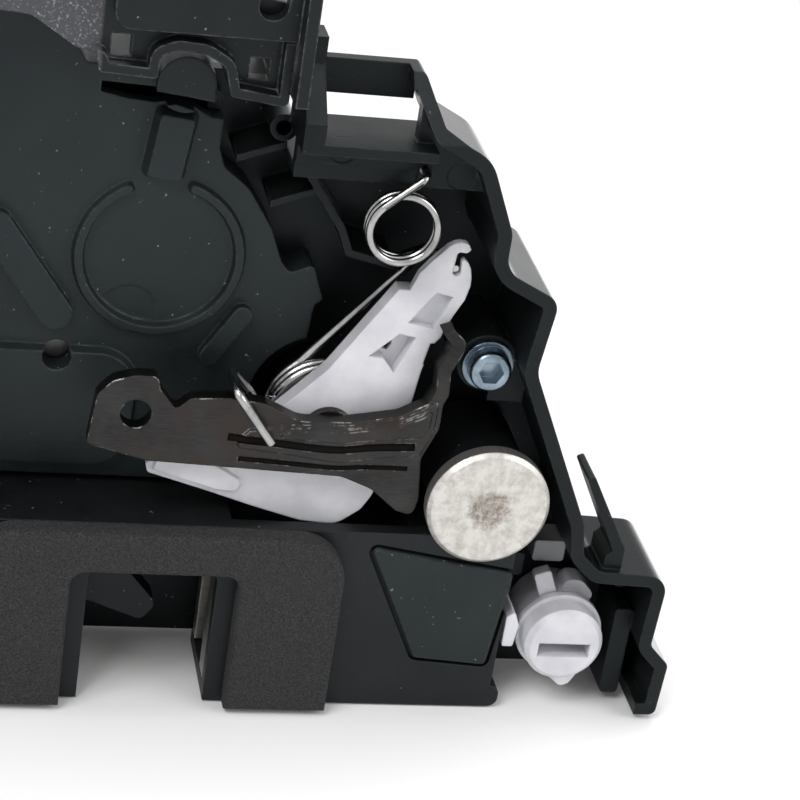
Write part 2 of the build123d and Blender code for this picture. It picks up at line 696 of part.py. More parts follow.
with BuildPart() as outer_lever:
    with BuildSketch(at(outer_back)):
        with BuildLine():
            FilletPolyline(*outer_points, radius=outer_radii, close=True)
        make_face()
        with Locations(cable_eye):
            Circle(1.8, mode=Mode.SUBTRACT)
    extrude(amount=outer_thick)
    with BuildSketch(at(outer_back)):
        with Locations((hub_x, hub_z)):
            Circle(hub_pin_radius + running)
    extrude(amount=outer_back - pin_front + 0.15, mode=Mode.SUBTRACT)
    # two pressed bands along the arm, the upper one the prouder
    with BuildSketch(at(outer_front)):
        with BuildLine():
            FilletPolyline(*lower_band, radius=0.4, close=True)
        make_face()
    extrude(amount=band_thick, taper=30)
    with BuildSketch(at(outer_front - band_thick)):
        with BuildLine():
            FilletPolyline(*upper_band, radius=0.4, close=True)
        make_face()
    extrude(amount=band_thick, taper=30)
    # flange bent back from the right end, wavy along its height
    with BuildSketch(at(outer_back + 0.5)):
        with BuildLine():
            FilletPolyline(
                (29.9, 24.0), (31.9, 29.5), (31.7, 32.4), (32.9, 35.4), (32.8, 36.6), (31.3, 37.9),
                (30.0, 37.4), (31.2, 36.0), (31.2, 35.6), (30.1, 32.8), (30.3, 30.0), (28.9, 26.0),
                radius=[0, 1, 1, 0.6, 0.6, 0, 0, 0.4, 0.4, 1, 1, 0], close=True,
            )
        make_face()
    extrude(amount=outer_thick + 0.5)

with BuildPart() as release_lever:
    with BuildSketch(at(release_back)):
        with BuildLine():
            FilletPolyline(
                (12.4, 24.6), (17.8, 30.4), (24.6, 41.0), (25.6, 42.6), (28.1, 46.4), (29.8, 47.8), (31.9, 47.8),
                (33.2, 45.2), (33.1, 41.8), (32.5, 37.9), (29.8, 34.5), (28.9, 31.0), (28.1, 24.4), (25.4, 14.0),
                (24.3, 12.0), (21.5, 9.8), (17.0, 10.2), (10.8, 12.0), (4.6, 14.0), (-1.8, 15.9), (-2.2, 17.3),
                (8.0, 19.0), radius=[3, 4, 0.5, 0.5, 2, 1, 1, 1.5, 4, 3, 3, 4, 3, 3, 2, 3, 5, 8, 8, 0.6, 0.5, 4],
                close=True,
            )
        make_face()
        with Locations((hub_x, hub_z)):
            Circle(hub_pin_radius + running, mode=Mode.SUBTRACT)
        # hooked slot at the tip, open to the right, for the end of the return spring
        with BuildLine():
            FilletPolyline(
                (30.6, 43.4), (30.9, 46.4), (33.6, 46.2), (33.6, 45.4), (31.6, 45.4), (31.7, 43.4),
                radius=[0.5, 0.4, 0, 0, 0.3, 0.5], close=True,
            )
        make_face(mode=Mode.SUBTRACT)
    extrude(amount=release_thick)
    # raised pad and stiffening swell on the lower arm
    with BuildSketch(at(release_front)):
        with BuildLine():
            FilletPolyline(
                (-1.4, 16.4), (6.4, 14.0), (9.0, 13.8), (9.6, 15.4), (6.0, 17.6), (-1.0, 18.2),
                radius=[0.4, 1, 0.8, 1, 1, 0.4], close=True,
            )
        make_face()
    extrude(amount=0.5, taper=20)
    with BuildSketch(at(release_back + 3.8)):
        with Locations((hub_x, hub_z)):
            Circle(hub_collar)
            Circle(hub_pin_radius + running, mode=Mode.SUBTRACT)
    extrude(amount=3.8)
    # two lightening pockets in the front face of the upper arm
    with BuildSketch(at(release_front + 1.4)):
        with BuildLine():
            FilletPolyline((26.0, 40.0), (30.6, 41.2), (30.2, 37.2), (25.2, 36.4), radius=0.5, close=True)
        make_face()
        with BuildLine():
            FilletPolyline((22.4, 35.4), (25.8, 35.6), (23.4, 32.8), radius=0.3, close=True)
        make_face()
    extrude(amount=1.4, mode=Mode.SUBTRACT)

with BuildPart() as lever_pin:
    with BuildSketch(at(case_back)):
        with Locations((hub_x, hub_z)):
            Circle(hub_pin_radius)
    extrude(amount=case_back - pin_front)
    with BuildSketch(at(release_front - 0.1)):
        with Locations((hub_x, hub_z)):
            Circle(pin_collar)
    extrude(amount=release_front - outer_back - 0.2)

# post, screws and key coupling
with BuildPart() as support_post:
    with BuildSketch(at(housing_rear)):
        with Locations((post_x, post_z)):
            Circle(post_shank)
    extrude(amount=housing_rear - post_head_front - post_head_thick)
    with BuildSketch(at(post_head_front + post_head_thick)):
        with Locations((post_x, post_z)):
            Circle(post_head)
    extrude(amount=post_head_thick)
    chamfer(support_post.faces().sort_by(Axis.Y)[0].edges(), 0.5)

with BuildPart() as case_screw:
    with BuildSketch(at(screw_boss_front)):
        with Locations((boss_screw_x, boss_screw_z)):
            Circle(3.1)
    extrude(amount=0.8)
    with BuildSketch(at(screw_boss_front - 0.8)):
        with Locations((boss_screw_x, boss_screw_z)):
            Circle(2.5)
    extrude(amount=2.0)
    fillet(case_screw.faces().sort_by(Axis.Y)[0].edges(), 0.5)
    with BuildSketch(at(screw_boss_front - 2.8)):
        with Locations((boss_screw_x, boss_screw_z)):
            RegularPolygon(1.5, 6)
    extrude(amount=-1.6, mode=Mode.SUBTRACT)
    with BuildSketch(at(screw_boss_front + 8.5)):
        with Locations((boss_screw_x, boss_screw_z)):
            Circle(1.5)
    extrude(amount=8.5)

key_slot_long = 6.6
key_slot_wide = 1.9
with BuildPart() as key_coupling:
    with BuildSketch(at(bay_floor - 0.3)):
        with Locations((key_x, key_z)):
            Circle(key_radius)
    extrude(amount=bay_floor - 0.3 - key_front)
    chamfer(key_coupling.faces().sort_by(Axis.Y)[0].edges(), 0.6)
    with BuildSketch(at(bay_back + 1.6)):
        with Locations((key_x, key_z)):
            Circle(3.0)
    extrude(amount=bay_back + 1.6 - bay_floor + 0.3)
    # collar, bottom tab, rear lobe and the arm that works the lock
    with BuildSketch(at(3.2)):
        with Locations((key_x, key_z)):
            Circle(key_radius + 0.5)
    extrude(amount=1.0)
    with BuildSketch(at(2.2)):
        with BuildLine():
            FilletPolyline(
                polar(key_x, key_z, 4.0, -112), polar(key_x, key_z, 4.9, -106), polar(key_x, key_z, 6.4, -84),
                polar(key_x, key_z, 6.2, -74), polar(key_x, key_z, 4.9, -56), polar(key_x, key_z, 4.0, -50),
                radius=[0, 0.4, 0.8, 0.8, 0.4, 0], close=True,
            )
        make_face()
    extrude(amount=2.4)
    with BuildSketch(at(8.0)):
        with BuildLine():
            FilletPolyline(
                polar(key_x, key_z, 4.0, 30), polar(key_x, key_z, 6.1, 42), polar(key_x, key_z, 6.6, 66),
                polar(key_x, key_z, 6.1, 84), polar(key_x, key_z, 4.0, 90), radius=[0, 1, 1.6, 1, 0], close=True,
            )
        make_face()
    extrude(amount=3.0)
    with BuildSketch(Plane(origin=(key_x, 5.0, key_z), x_dir=(cos(radians(112)), 0, sin(radians(112))),
                           z_dir=(0, -1, 0))):
        with Locations((6.0, 0)):
            RectangleRounded(5.0, 2.2, 0.4)
    extrude(amount=1.6)
    with BuildSketch(at(key_front)):
        with Locations((key_x, key_z - 0.6)):
            Rectangle(key_slot_long, key_slot_wide)
    extrude(amount=-4.5, mode=Mode.SUBTRACT)

with BuildPart() as key_stop:
    with BuildSketch(at(bay_floor)):
        with Locations((49.9, 5.3)):
            RectangleRounded(4.0, 2.9, 0.4)
    extrude(amount=4.2)

with BuildPart() as lock_link:
    with BuildSketch(at(bay_floor - seat_gap)):
        with Locations((45.4, -4.0)):
            RectangleRounded(2.2, 7.8, 0.5)
    extrude(amount=1.8)
    with BuildSketch(at(bay_floor - 2)):
        with BuildLine():
            FilletPolyline((44.4, -5.6), (45.8, -5.6), (46.2, -2.6), (45.4, -0.6), (44.4, -1.4), radius=0.3, close=True)
        make_face()
    extrude(amount=7.4)

# actuator cover
cover_points = [
    (-44.4, 11.2), (12.4, 11.2), (14.3, 23.5), (16.0, 27.0), (16.4, 32.4), (16.6, 35.2), (17.5, 36.1), (15.9, 40.4),
    (13.2, 39.2), (12.0, 40.6), (10.4, 44.6), (7.2, 49.4), (4.0, 51.9), (3.2, 54.2), (3.3, 59.6), (2.0, 60.4),
    (1.8, 63.2), (-12.6, 63.2), (-14.2, 66.0), (-19.6, 69.2), (-44.4, 69.6),
]
cover_radii = [4, 2, 2, 1.5, 1, 0.3, 0.4, 0.6, 0.8, 0.8, 4, 3, 1.5, 0.8, 0.4, 0.4, 0.5, 0.8, 2, 3, 4]
cable_slot = [
    (-10.8, 61.2), (-10.8, 59.9), (-7.5, 59.3), (-4.7, 59.1), (-2.5, 59.6), (-0.6, 59.1), (1.9, 57.8), (4.5, 57.5),
    (4.5, 60.0), (2.6, 60.1), (-1.1, 60.6), (-5.0, 61.0),
]
ring_centre = (gear_x, gear_z)
ring_radius = 9.3
ring_wide = 1.6

with BuildSketch() as cover_shape:
    with BuildLine():
        FilletPolyline(*cover_points, radius=cover_radii, close=True)
    make_face()
    with Locations((hub_x, hub_z)):
        Circle(8.7, mode=Mode.SUBTRACT)

with BuildPart() as actuator_cover:
    with BuildSketch(at(floor_front)):
        add(cover_shape.sketch)
    extrude(amount=floor_front - cover_front)
    with BuildSketch(at(floor_front)):
        add(cover_shape.sketch)
        offset(amount=-wall, kind=Kind.INTERSECTION)
    extrude(amount=floor_front - cover_front - cover_skin, mode=Mode.SUBTRACT)
    # open ring over the gear, with round ends and leaning flanks
    with BuildSketch(at(cover_front)):
        with Locations(ring_centre):
            Circle(ring_radius + ring_wide / 2)
            Circle(ring_radius - ring_wide / 2, mode=Mode.SUBTRACT)
        with BuildLine():
            Polyline(ring_centre, polar(*ring_centre, 20, 70), polar(*ring_centre, 20, 118), close=True)
        make_face(mode=Mode.SUBTRACT)
        with Locations(polar(*ring_centre, ring_radius, 70), polar(*ring_centre, ring_radius, 118)):
            Circle(ring_wide / 2)
    extrude(amount=0.9, taper=22)
    # shallow gate mark inside the ring
    with BuildSketch(at(cover_front + mark_depth)):
        with Locations((-5.2, 33.2)):
            Circle(3.3)
        with Locations(ring_centre):
            Circle(ring_radius - ring_wide / 2 - 0.1, mode=Mode.INTERSECT)
    extrude(amount=mark_depth, mode=Mode.SUBTRACT)
    # tapered channel above the ring, arched dome at the top edge, and the slot between them
    with BuildSketch(at(cover_front)):
        with Locations((-2.5, 54.4)):
            RectangleRounded(5.1, 8.8, 1.0, rotation=-7)
    extrude(amount=1.8, taper=20)
    with BuildSketch(at(cover_front + cover_skin)):
        with Locations((-1.5, 61.0)):
            Rectangle(6.6, 2.0)
        with Locations((-1.5, 62.0)):
            Circle(3.3)
    extrude(amount=cover_skin + 1.6)
    with BuildSketch(at(cover_front + 3.2)):
        with BuildLine():
            Polyline(*cable_slot, close=True)
        make_face()
    extrude(amount=7.0, mode=Mode.SUBTRACT)
    # rounded rod rib, ridge at the left and swelling over the motor
    with BuildSketch(at(cover_front)):
        with Locations((6.4, 31.2)):
            SlotOverall(8.6, 2.2, rotation=58)
        with Locations((-17.4, 38.0)):
            SlotOverall(17.0, 4.0, rotation=-54)
    extrude(amount=1.3)
    with BuildSketch(at(cover_front)):
        with Locations((-13.6, 20.6)):
            RectangleRounded(21.0, 15.6, 5.0)
    extrude(amount=1.2, taper=20)
    # pin boss and slide rail inside
    with BuildSketch(at(cover_front + cover_skin + 1.2)):
        with Locations(ring_centre):
            Circle(3.0)
    extrude(amount=1.2)
    with BuildSketch(at(floor_front - 0.1)):
        with Locations((1.0, gear_z - pinion_pitch_radius - 4.9)):
            Rectangle(25.0, 1.2)
    extrude(amount=floor_front - 0.1 - cover_front - cover_skin)
    with BuildSketch(at(cover_front + cover_skin + 1.2)):
        with Locations(ring_centre):
            Circle(axle_radius + press)
    extrude(amount=1.8, mode=Mode.SUBTRACT)
    with BuildSketch(at(cover_front + cover_skin)):
        with Locations((-13.0, 27.3)):
            Circle(1.7)
    extrude(amount=6, mode=Mode.SUBTRACT)

# upper cover and bracket
upper_points = [
    (-45.4, 71.2), (-22.4, 70.6), (-19.6, 70.4), (-14.6, 67.2), (-12.2, 66.6), (-12.2, 65.3), (-5.7, 65.0),
    (-5.7, 67.6), (-3.8, 68.4), (-0.8, 68.2), (1.5, 66.9), (2.4, 63.6), (8.8, 62.8), (8.8, 74.0), (-12.0, 76.0),
    (-18.0, 80.0), (-45.4, 80.0),
]
upper_radii = [1, 2, 2, 1.5, 0.4, 0.5, 0.5, 1, 1.2, 1.5, 1.5, 0.5, 0.8, 2, 4, 3, 4]
upper_front = 1.0
bracket_left = -11.0
bracket_right = 10.4
bracket_low = 70.4
rim_wide = 1.1
bracket_top = 99.0

with BuildPart() as upper_cover:
    with BuildSketch(at(floor_front)):
        with BuildLine():
            FilletPolyline(*upper_points, radius=upper_radii, close=True)
        make_face()
    extrude(amount=floor_front - upper_front - 2.2)
    with BuildSketch(at(floor_front)):
        with BuildLine():
            FilletPolyline(*upper_points, radius=upper_radii, close=True)
        make_face()
        offset(amount=-wall, kind=Kind.INTERSECTION)
    extrude(amount=floor_front - upper_front - 2.2 - wall, mode=Mode.SUBTRACT)
    # rim standing forward round the two lower tabs and the arch between them
    with BuildSketch(at(upper_front + 2.2)):
        with BuildLine():
            FilletPolyline(*upper_points, radius=upper_radii, close=True)
        make_face()
        offset(amount=-rim_wide, kind=Kind.INTERSECTION, mode=Mode.SUBTRACT)
        with Locations((-1.8, bracket_low - 4.2)):
            Rectangle(21.4, 8.0, mode=Mode.INTERSECT)
    extrude(amount=2.0)
    # clip windows in the two lower tabs
    with BuildSketch(at(floor_front)):
        with Locations((-9.8, 67.9), (5.4, 66.4)):
            Rectangle(2.2, 2.4)
    extrude(amount=floor_front, mode=Mode.SUBTRACT)

with BuildPart() as top_bracket:
    with BuildSketch(at(upper_front + 2.0)):
        with BuildLine():
            FilletPolyline(
                (bracket_left, bracket_low), (bracket_right, bracket_low), (bracket_right, bracket_top),
                (bracket_left + 6, bracket_top), (bracket_left, bracket_top - 9), radius=[2, 0.5, 2, 5, 5], close=True,
            )
        make_face()
        with Locations((6.4, 78.6)):
            SlotOverall(12.0, 3.2, rotation=82, mode=Mode.SUBTRACT)
        with Locations((-4.0, 92.0)):
            Circle(2.6, mode=Mode.SUBTRACT)
    extrude(amount=2.0)
    with BuildSketch(at(upper_front + 2.0)):
        with Locations((bracket_right - 0.7, (64.0 + bracket_top - 1) / 2)):
            Rectangle(1.4, bracket_top - 1 - 64.0)
    extrude(amount=5.0)

# gear train
tooth_pitch = pi * tooth_module


def tooth_corners(pitch_radius, index, count, root, tip):
    # four corners of one straight-flanked tooth, thinned by the backlash
    middle = 360 * index / count
    at_pitch = degrees((tooth_pitch / 2 - backlash) / 2 / pitch_radius)
    slope = degrees(tooth_module * 0.36 / pitch_radius)
    return [
        polar(gear_x, gear_z, root, middle - at_pitch - slope), polar(gear_x, gear_z, tip, middle - at_pitch + slope),
        polar(gear_x, gear_z, tip, middle + at_pitch - slope), polar(gear_x, gear_z, root, middle + at_pitch + slope),
    ]


with BuildPart() as worm_wheel:
    with BuildSketch(at(wheel_back)):
        with Locations(ring_centre):
            Circle(wheel_pitch_radius - 0.8)
        for number in range(wheel_teeth):
            with BuildLine():
                Polyline(
                    *tooth_corners(wheel_pitch_radius, number + 0.5, wheel_teeth,
                                   wheel_pitch_radius - 1.0, wheel_pitch_radius + 0.6), close=True,
                )
            make_face()
        with Locations(ring_centre):
            Circle(axle_radius + running, mode=Mode.SUBTRACT)
    extrude(amount=wheel_thick)
    with BuildSketch(at(wheel_front)):
        with Locations(ring_centre):
            Circle(pinion_pitch_radius - 0.8)
        for number in range(pinion_teeth):
            with BuildLine():
                Polyline(
                    *tooth_corners(pinion_pitch_radius, number, pinion_teeth,
                                   pinion_pitch_radius - 1.0, pinion_pitch_radius + 0.6), close=True,
                )
            make_face()
        with Locations(ring_centre):
            Circle(axle_radius + running, mode=Mode.SUBTRACT)
    extrude(amount=wheel_front - cover_front - cover_skin - 1.2 - 0.2)

with BuildPart() as wheel_pin:
    with BuildSketch(at(rear_depth - 2.4)):
        with Locations(ring_centre):
            Circle(axle_radius)
    extrude(amount=rear_depth - 2.4 - cover_front - cover_skin + 0.4)

rack_line = gear_z - pinion_pitch_radius
rack_teeth = 7
with BuildPart() as lock_slide:
    with BuildSketch(at(floor_front - 0.2)):
        with Locations((gear_x - 1.0, rack_line - 2.55)):
            Rectangle(rack_teeth * tooth_pitch + 2.0, 3.1)
        with Locations((gear_x - 12.4, rack_line - 2.1)):
            Rectangle(4.0, 4.0)
        for number in range(rack_teeth):
            middle = gear_x + (number - (rack_teeth - 1) / 2 + 0.5) * tooth_pitch - tooth_pitch
            half = (tooth_pitch / 2 - backlash) / 2
            with BuildLine():
                Polyline(
                    (middle - half - 0.36, rack_line - 1.1), (middle - half + 0.25, rack_line + 0.55),
                    (middle + half - 0.25, rack_line + 0.55), (middle + half + 0.36, rack_line - 1.1), close=True,
                )
            make_face()
    extrude(amount=2.2)

motor_top = 29.2
motor_bottom = 13.2
motor_wide = 20.0
motor_deep = 15.0
with BuildPart() as motor:
    with BuildSketch(Plane.XY.offset(motor_bottom)):
        with Locations((worm_x, worm_y)):
            RectangleRounded(motor_wide, motor_deep, 4.5)
    extrude(amount=motor_top - motor_bottom)
    with BuildSketch(Plane.XY.offset(motor_top)):
        with Locations((worm_x, worm_y)):
            Circle(3.0)
    extrude(amount=1.4)
    with BuildSketch(Plane.XY.offset(motor_top + 1.4)):
        with Locations((worm_x, worm_y)):
            Circle(shaft_radius + running)
    extrude(amount=-6.0, mode=Mode.SUBTRACT)

worm_start = motor_top + 3.2
worm_length = 16.0
with BuildPart() as motor_worm:
    with BuildSketch(Plane.XY.offset(motor_top - 3.6)):
        with Locations((worm_x, worm_y)):
            Circle(shaft_radius)
    extrude(amount=25.2)
    with BuildSketch(Plane.XY.offset(worm_start)):
        with Locations((worm_x, worm_y)):
            Circle(worm_pitch_radius - 0.75)
    extrude(amount=worm_length)
    thread_start = gear_z - 2 * tooth_pitch
    with BuildLine(Plane(origin=(worm_x, worm_y, thread_start), x_dir=(1, 0, 0), z_dir=(0, 0, 1))) as thread:
        Helix(pitch=tooth_pitch, height=4 * tooth_pitch, radius=worm_pitch_radius - 0.8)
    with BuildSketch(Plane(origin=thread.wire() @ 0, x_dir=(1, 0, 0), z_dir=thread.wire() % 0)):
        with BuildLine():
            Polyline((0, -0.8), (1.35, -0.3), (1.35, 0.3), (0, 0.8), close=True)
        make_face()
    sweep(path=thread.wire(), is_frenet=True)

# switches, rear cover, connector
with BuildPart() as lock_switch:
    with BuildSketch(at(floor_front + 4.0)):
        with Locations((-26.2, rack_line - 1.2)):
            RectangleRounded(6.0, 9.0, 0.5)
    extrude(amount=floor_front + 4.0 - cover_front - cover_skin - seat_gap)
    with BuildSketch(Plane(origin=(-23.2, floor_front + 1.2, rack_line - 1.2), z_dir=(1, 0, 0))):
        Rectangle(1.4, 1.6)
    extrude(amount=0.6)

with BuildPart() as latch_switch:
    with BuildSketch(at(back_plate_front - 0.1)):
        with Locations((14.8, -2.0)):
            RectangleRounded(9.0, 6.0, 0.5)
    extrude(amount=back_plate_front - plate_back - 0.2)
    with BuildSketch(Plane(origin=(10.3, (back_plate_front + plate_back) / 2, -1.0), z_dir=(-1, 0, 0))):
        Rectangle(1.6, 1.4)
    extrude(amount=0.6)

rear_left = -45.0
rear_right = 14.0
rear_bottom = 9.8
rear_top = 62.0
rear_wall = 1.8
socket_far = -57.0
socket_low = 36.0
socket_high = 56.0
socket_front = case_back + 0.6
socket_back = case_back + 11.2
screw_places = [(-41.4, 14.0), (10.2, 14.0), (9.6, 50.0), (-41.4, 59.4)]

with BuildSketch() as rear_shape:
    with BuildLine():
        FilletPolyline(
            (rear_left, rear_bottom), (rear_right, rear_bottom), (rear_right, 54.0), (2.6, rear_top - 0.6),
            (rear_left, rear_top), radius=[5, 5, 6, 6, 5], close=True,
        )
    make_face()

with BuildPart() as rear_cover:
    with BuildSketch(at(rear_depth)):
        add(rear_shape.sketch)
    extrude(amount=rear_depth - case_back)
    with BuildSketch(at(rear_depth - 2.0)):
        add(rear_shape.sketch)
        offset(amount=-rear_wall, kind=Kind.INTERSECTION)
    extrude(amount=rear_depth - 2.0 - case_back, mode=Mode.SUBTRACT)
    # screw bosses in the corners, pin boss and worm bearing
    with BuildSketch(at(rear_depth - 1)):
        with Locations(*screw_places):
            Circle(3.4)
    extrude(amount=rear_depth - 1 - case_back)
    with BuildSketch(at(rear_depth - 1)):
        with Locations(ring_centre):
            Circle(3.2)
    extrude(amount=rear_depth - 1 - wheel_back - 0.3)
    with BuildSketch(at(rear_depth - 1)):
        with Locations((worm_x, motor_bottom + 3), (worm_x, motor_top - 3)):
            Rectangle(motor_wide - 9.0, 1.2)
    extrude(amount=rear_depth - 1 - worm_y - motor_deep / 2 - 0.2)
    with BuildSketch(at(rear_depth - 1)):
        with Locations((worm_x, 51.0)):
            Rectangle(6.0, 2.0)
    extrude(amount=rear_depth - 1 - worm_y + 3.0)
    with BuildSketch(at(rear_depth - 2.2)):
        with Locations(ring_centre):
            Circle(axle_radius + press)
    extrude(amount=rear_depth - 2.2 - wheel_back, mode=Mode.SUBTRACT)
    with BuildSketch(Plane.XY.offset(49.0)):
        with Locations((worm_x, worm_y)):
            Circle(shaft_radius + running)
    extrude(amount=4.0, mode=Mode.SUBTRACT)
    with BuildSketch(at(rear_depth + 1)):
        with Locations(*screw_places):
            Circle(1.5 + press)
    extrude(amount=rear_depth + 1.5 - case_back, mode=Mode.SUBTRACT)
    # stiffening ribs on the back
    with BuildSketch(at(rear_depth + 0.9)):
        with Locations((-14.0, 36.0)):
            with GridLocations(14.0, 1, 3, 1):
                Rectangle(1.2, 34.0)
        with Locations((-14.0, 24.0), (-14.0, 48.0)):
            Rectangle(40.0, 1.2)
    extrude(amount=0.9)
    # connector socket on the left side
    with BuildSketch(Plane.YZ.offset(rear_left + 1.0)):
        with Locations(((socket_front + socket_back) / 2, (socket_low + socket_high) / 2)):
            RectangleRounded(socket_back - socket_front, socket_high - socket_low, 1.6)
    extrude(amount=socket_far - rear_left - 1.0)
    with BuildSketch(Plane.YZ.offset(socket_far)):
        with Locations(((socket_front + socket_back) / 2, (socket_low + socket_high) / 2)):
            RectangleRounded(socket_back - socket_front - 2.6, socket_high - socket_low - 2.6, 0.8)
    extrude(amount=rear_left - socket_far - 0.8, mode=Mode.SUBTRACT)

pin_side = 0.8
with BuildPart() as connector_pins:
    with BuildSketch(Plane.YZ.offset(rear_left - 0.8)):
        with Locations(((socket_front + socket_back) / 2, (socket_low + socket_high) / 2)):
            with GridLocations(3.6, 4.2, 2, 4):
                Rectangle(pin_side, pin_side)
    extrude(amount=-7.0)

with BuildPart() as cover_screws:
    with BuildSketch(at(rear_depth + 1.8)):
        with Locations(*screw_places):
            Circle(2.8)
    extrude(amount=1.8)
    with BuildSketch(at(rear_depth + 1.8)):
        with Locations(*screw_places):
            RegularPolygon(1.3, 6)
    extrude(amount=1.0, mode=Mode.SUBTRACT)
    with BuildSketch(at(rear_depth)):
        with Locations(*screw_places):
            Circle(1.5)
    extrude(amount=rear_depth - case_back - 0.5)

# label and write each piece
pieces = {
    "case": case, "latch_housing": latch_housing, "latch_cover": latch_cover, "foam_seal": foam_seal,
    "mount_plate": mount_plate, "back_plate": back_plate, "catch": catch, "catch_pin": catch_pin,
    "catch_spring": catch_spring, "catch_buffer": catch_buffer, "pawl": pawl, "pawl_pin": pawl_pin,
    "pawl_spring": pawl_spring, "trip_rod": trip_rod, "outer_lever": outer_lever, "release_lever": release_lever,
    "lever_pin": lever_pin, "lever_spring": lever_spring, "return_spring": return_spring,
    "support_post": support_post, "case_screw": case_screw, "key_coupling": key_coupling, "key_stop": key_stop,
    "lock_link": lock_link,
    "actuator_cover": actuator_cover, "upper_cover": upper_cover, "top_bracket": top_bracket,
    "worm_wheel": worm_wheel, "wheel_pin": wheel_pin, "lock_slide": lock_slide, "motor": motor,
    "motor_worm": motor_worm, "lock_switch": lock_switch, "latch_switch": latch_switch, "rear_cover": rear_cover,
    "connector_pins": connector_pins, "cover_screws": cover_screws,
}
for name, piece in pieces.items():
    piece.part.label = name
    export_step(piece.part, f"parts/{name}.step")
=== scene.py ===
# Door latch actuator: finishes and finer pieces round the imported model
import math

import bmesh
import bpy
from mathutils import Matrix, Vector


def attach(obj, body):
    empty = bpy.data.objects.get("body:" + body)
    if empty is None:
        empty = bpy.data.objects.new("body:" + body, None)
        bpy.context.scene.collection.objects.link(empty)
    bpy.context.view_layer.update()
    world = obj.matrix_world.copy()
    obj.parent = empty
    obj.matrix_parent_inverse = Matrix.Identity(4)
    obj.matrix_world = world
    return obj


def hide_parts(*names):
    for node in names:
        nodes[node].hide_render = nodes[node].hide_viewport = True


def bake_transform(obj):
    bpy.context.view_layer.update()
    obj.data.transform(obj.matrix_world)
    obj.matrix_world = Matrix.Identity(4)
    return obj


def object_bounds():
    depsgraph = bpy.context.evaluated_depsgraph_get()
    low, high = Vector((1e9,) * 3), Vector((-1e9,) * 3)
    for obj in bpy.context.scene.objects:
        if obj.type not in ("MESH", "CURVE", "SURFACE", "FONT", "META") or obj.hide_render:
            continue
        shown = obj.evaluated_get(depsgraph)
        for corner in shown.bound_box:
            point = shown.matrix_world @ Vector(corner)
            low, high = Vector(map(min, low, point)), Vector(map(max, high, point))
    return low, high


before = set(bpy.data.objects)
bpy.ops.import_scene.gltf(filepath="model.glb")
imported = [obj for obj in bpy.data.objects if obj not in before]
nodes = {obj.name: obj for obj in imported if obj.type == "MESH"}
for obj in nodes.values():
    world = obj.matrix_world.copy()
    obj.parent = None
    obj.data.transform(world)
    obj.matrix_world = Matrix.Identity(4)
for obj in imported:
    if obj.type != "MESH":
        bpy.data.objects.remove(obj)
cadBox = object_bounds()
print("stage: frame loaded,", len(nodes), "nodes")

mm = 0.001
sameSpot = 1e-6  # nearer than this, in metres, is the same place
scene = bpy.context.scene


def addObject(name, data):
    item = bpy.data.objects.new(name, data)
    scene.collection.objects.link(item)
    return item


def meshFrom(name, mesh):
    data = bpy.data.meshes.new(name)
    mesh.to_mesh(data)
    mesh.free()
    return data


# small helpers for node trees; a noise is given as scale, detail and roughness
def plug(tree, socket, value):
    if isinstance(value, bpy.types.NodeSocket):
        tree.links.new(value, socket)
    elif socket.type == "RGBA":
        socket.default_value = (*value, 1)
    else:
        socket.default_value = value


def addNode(tree, kind, inputs, **settings):
    node = tree.nodes.new(kind)
    for key, value in settings.items():
        setattr(node, key, value)
    for key, value in inputs.items():
        plug(tree, node.inputs[key], value)
    return node


def mapped(tree, source, location=(0, 0, 0), scale=(1, 1, 1)):
    return addNode(tree, "ShaderNodeMapping", {"Vector": source, "Location": location, "Scale": scale}).outputs[0]


def noise(tree, source, scale, detail, roughness):
    return addNode(tree, "ShaderNodeTexNoise", {
        "Vector": source, "Scale": scale, "Detail": detail, "Roughness": roughness,
    }).outputs["Fac"]


def span(tree, source, low, high, fromLow=0.0, fromHigh=1.0):
    return addNode(tree, "ShaderNodeMapRange", {
        "Value": source, "From Min": fromLow, "From Max": fromHigh, "To Min": low, "To Max": high,
    }).outputs["Result"]


def mixColour(tree, factor, first, second):
    return addNode(tree, "ShaderNodeMix", {0: factor, 6: first, 7: second}, data_type="RGBA").outputs[2]


def calc(tree, operation, first, second=0.0):
    return addNode(tree, "ShaderNodeMath", {0: first, 1: second}, operation=operation).outputs[0]


def times(tree, first, second):
    return calc(tree, "MULTIPLY", first, second)


def plus(tree, first, second):
    return calc(tree, "ADD", first, second)


def lengthOf(tree, vector):
    return addNode(tree, "ShaderNodeVectorMath", {0: vector}, operation="LENGTH").outputs[1]


def flattened(tree, vector, keep):
    return addNode(tree, "ShaderNodeVectorMath", {0: vector, 1: keep}, operation="MULTIPLY").outputs[0]


def along(tree, vector, axis):
    return addNode(tree, "ShaderNodeSeparateXYZ", {0: vector}).outputs[axis]


def softEdges(tree, radius):
    return addNode(tree, "ShaderNodeBevel", {"Radius": radius}, samples=4).outputs["Normal"]


def bumped(tree, shader, height, strength, distance, normal=None):
    node = addNode(tree, "ShaderNodeBump", {"Height": height, "Strength": strength, "Distance": distance})
    if normal is not None:
        plug(tree, node.inputs["Normal"], normal)
    plug(tree, shader.inputs["Normal"], node.outputs["Normal"])


def newMaterial(name):
    material = bpy.data.materials.new(name)
    material.use_nodes = True
    tree = material.node_tree
    place = tree.nodes.new("ShaderNodeTexCoord").outputs["Object"]
    return material, tree, tree.nodes["Principled BSDF"], place


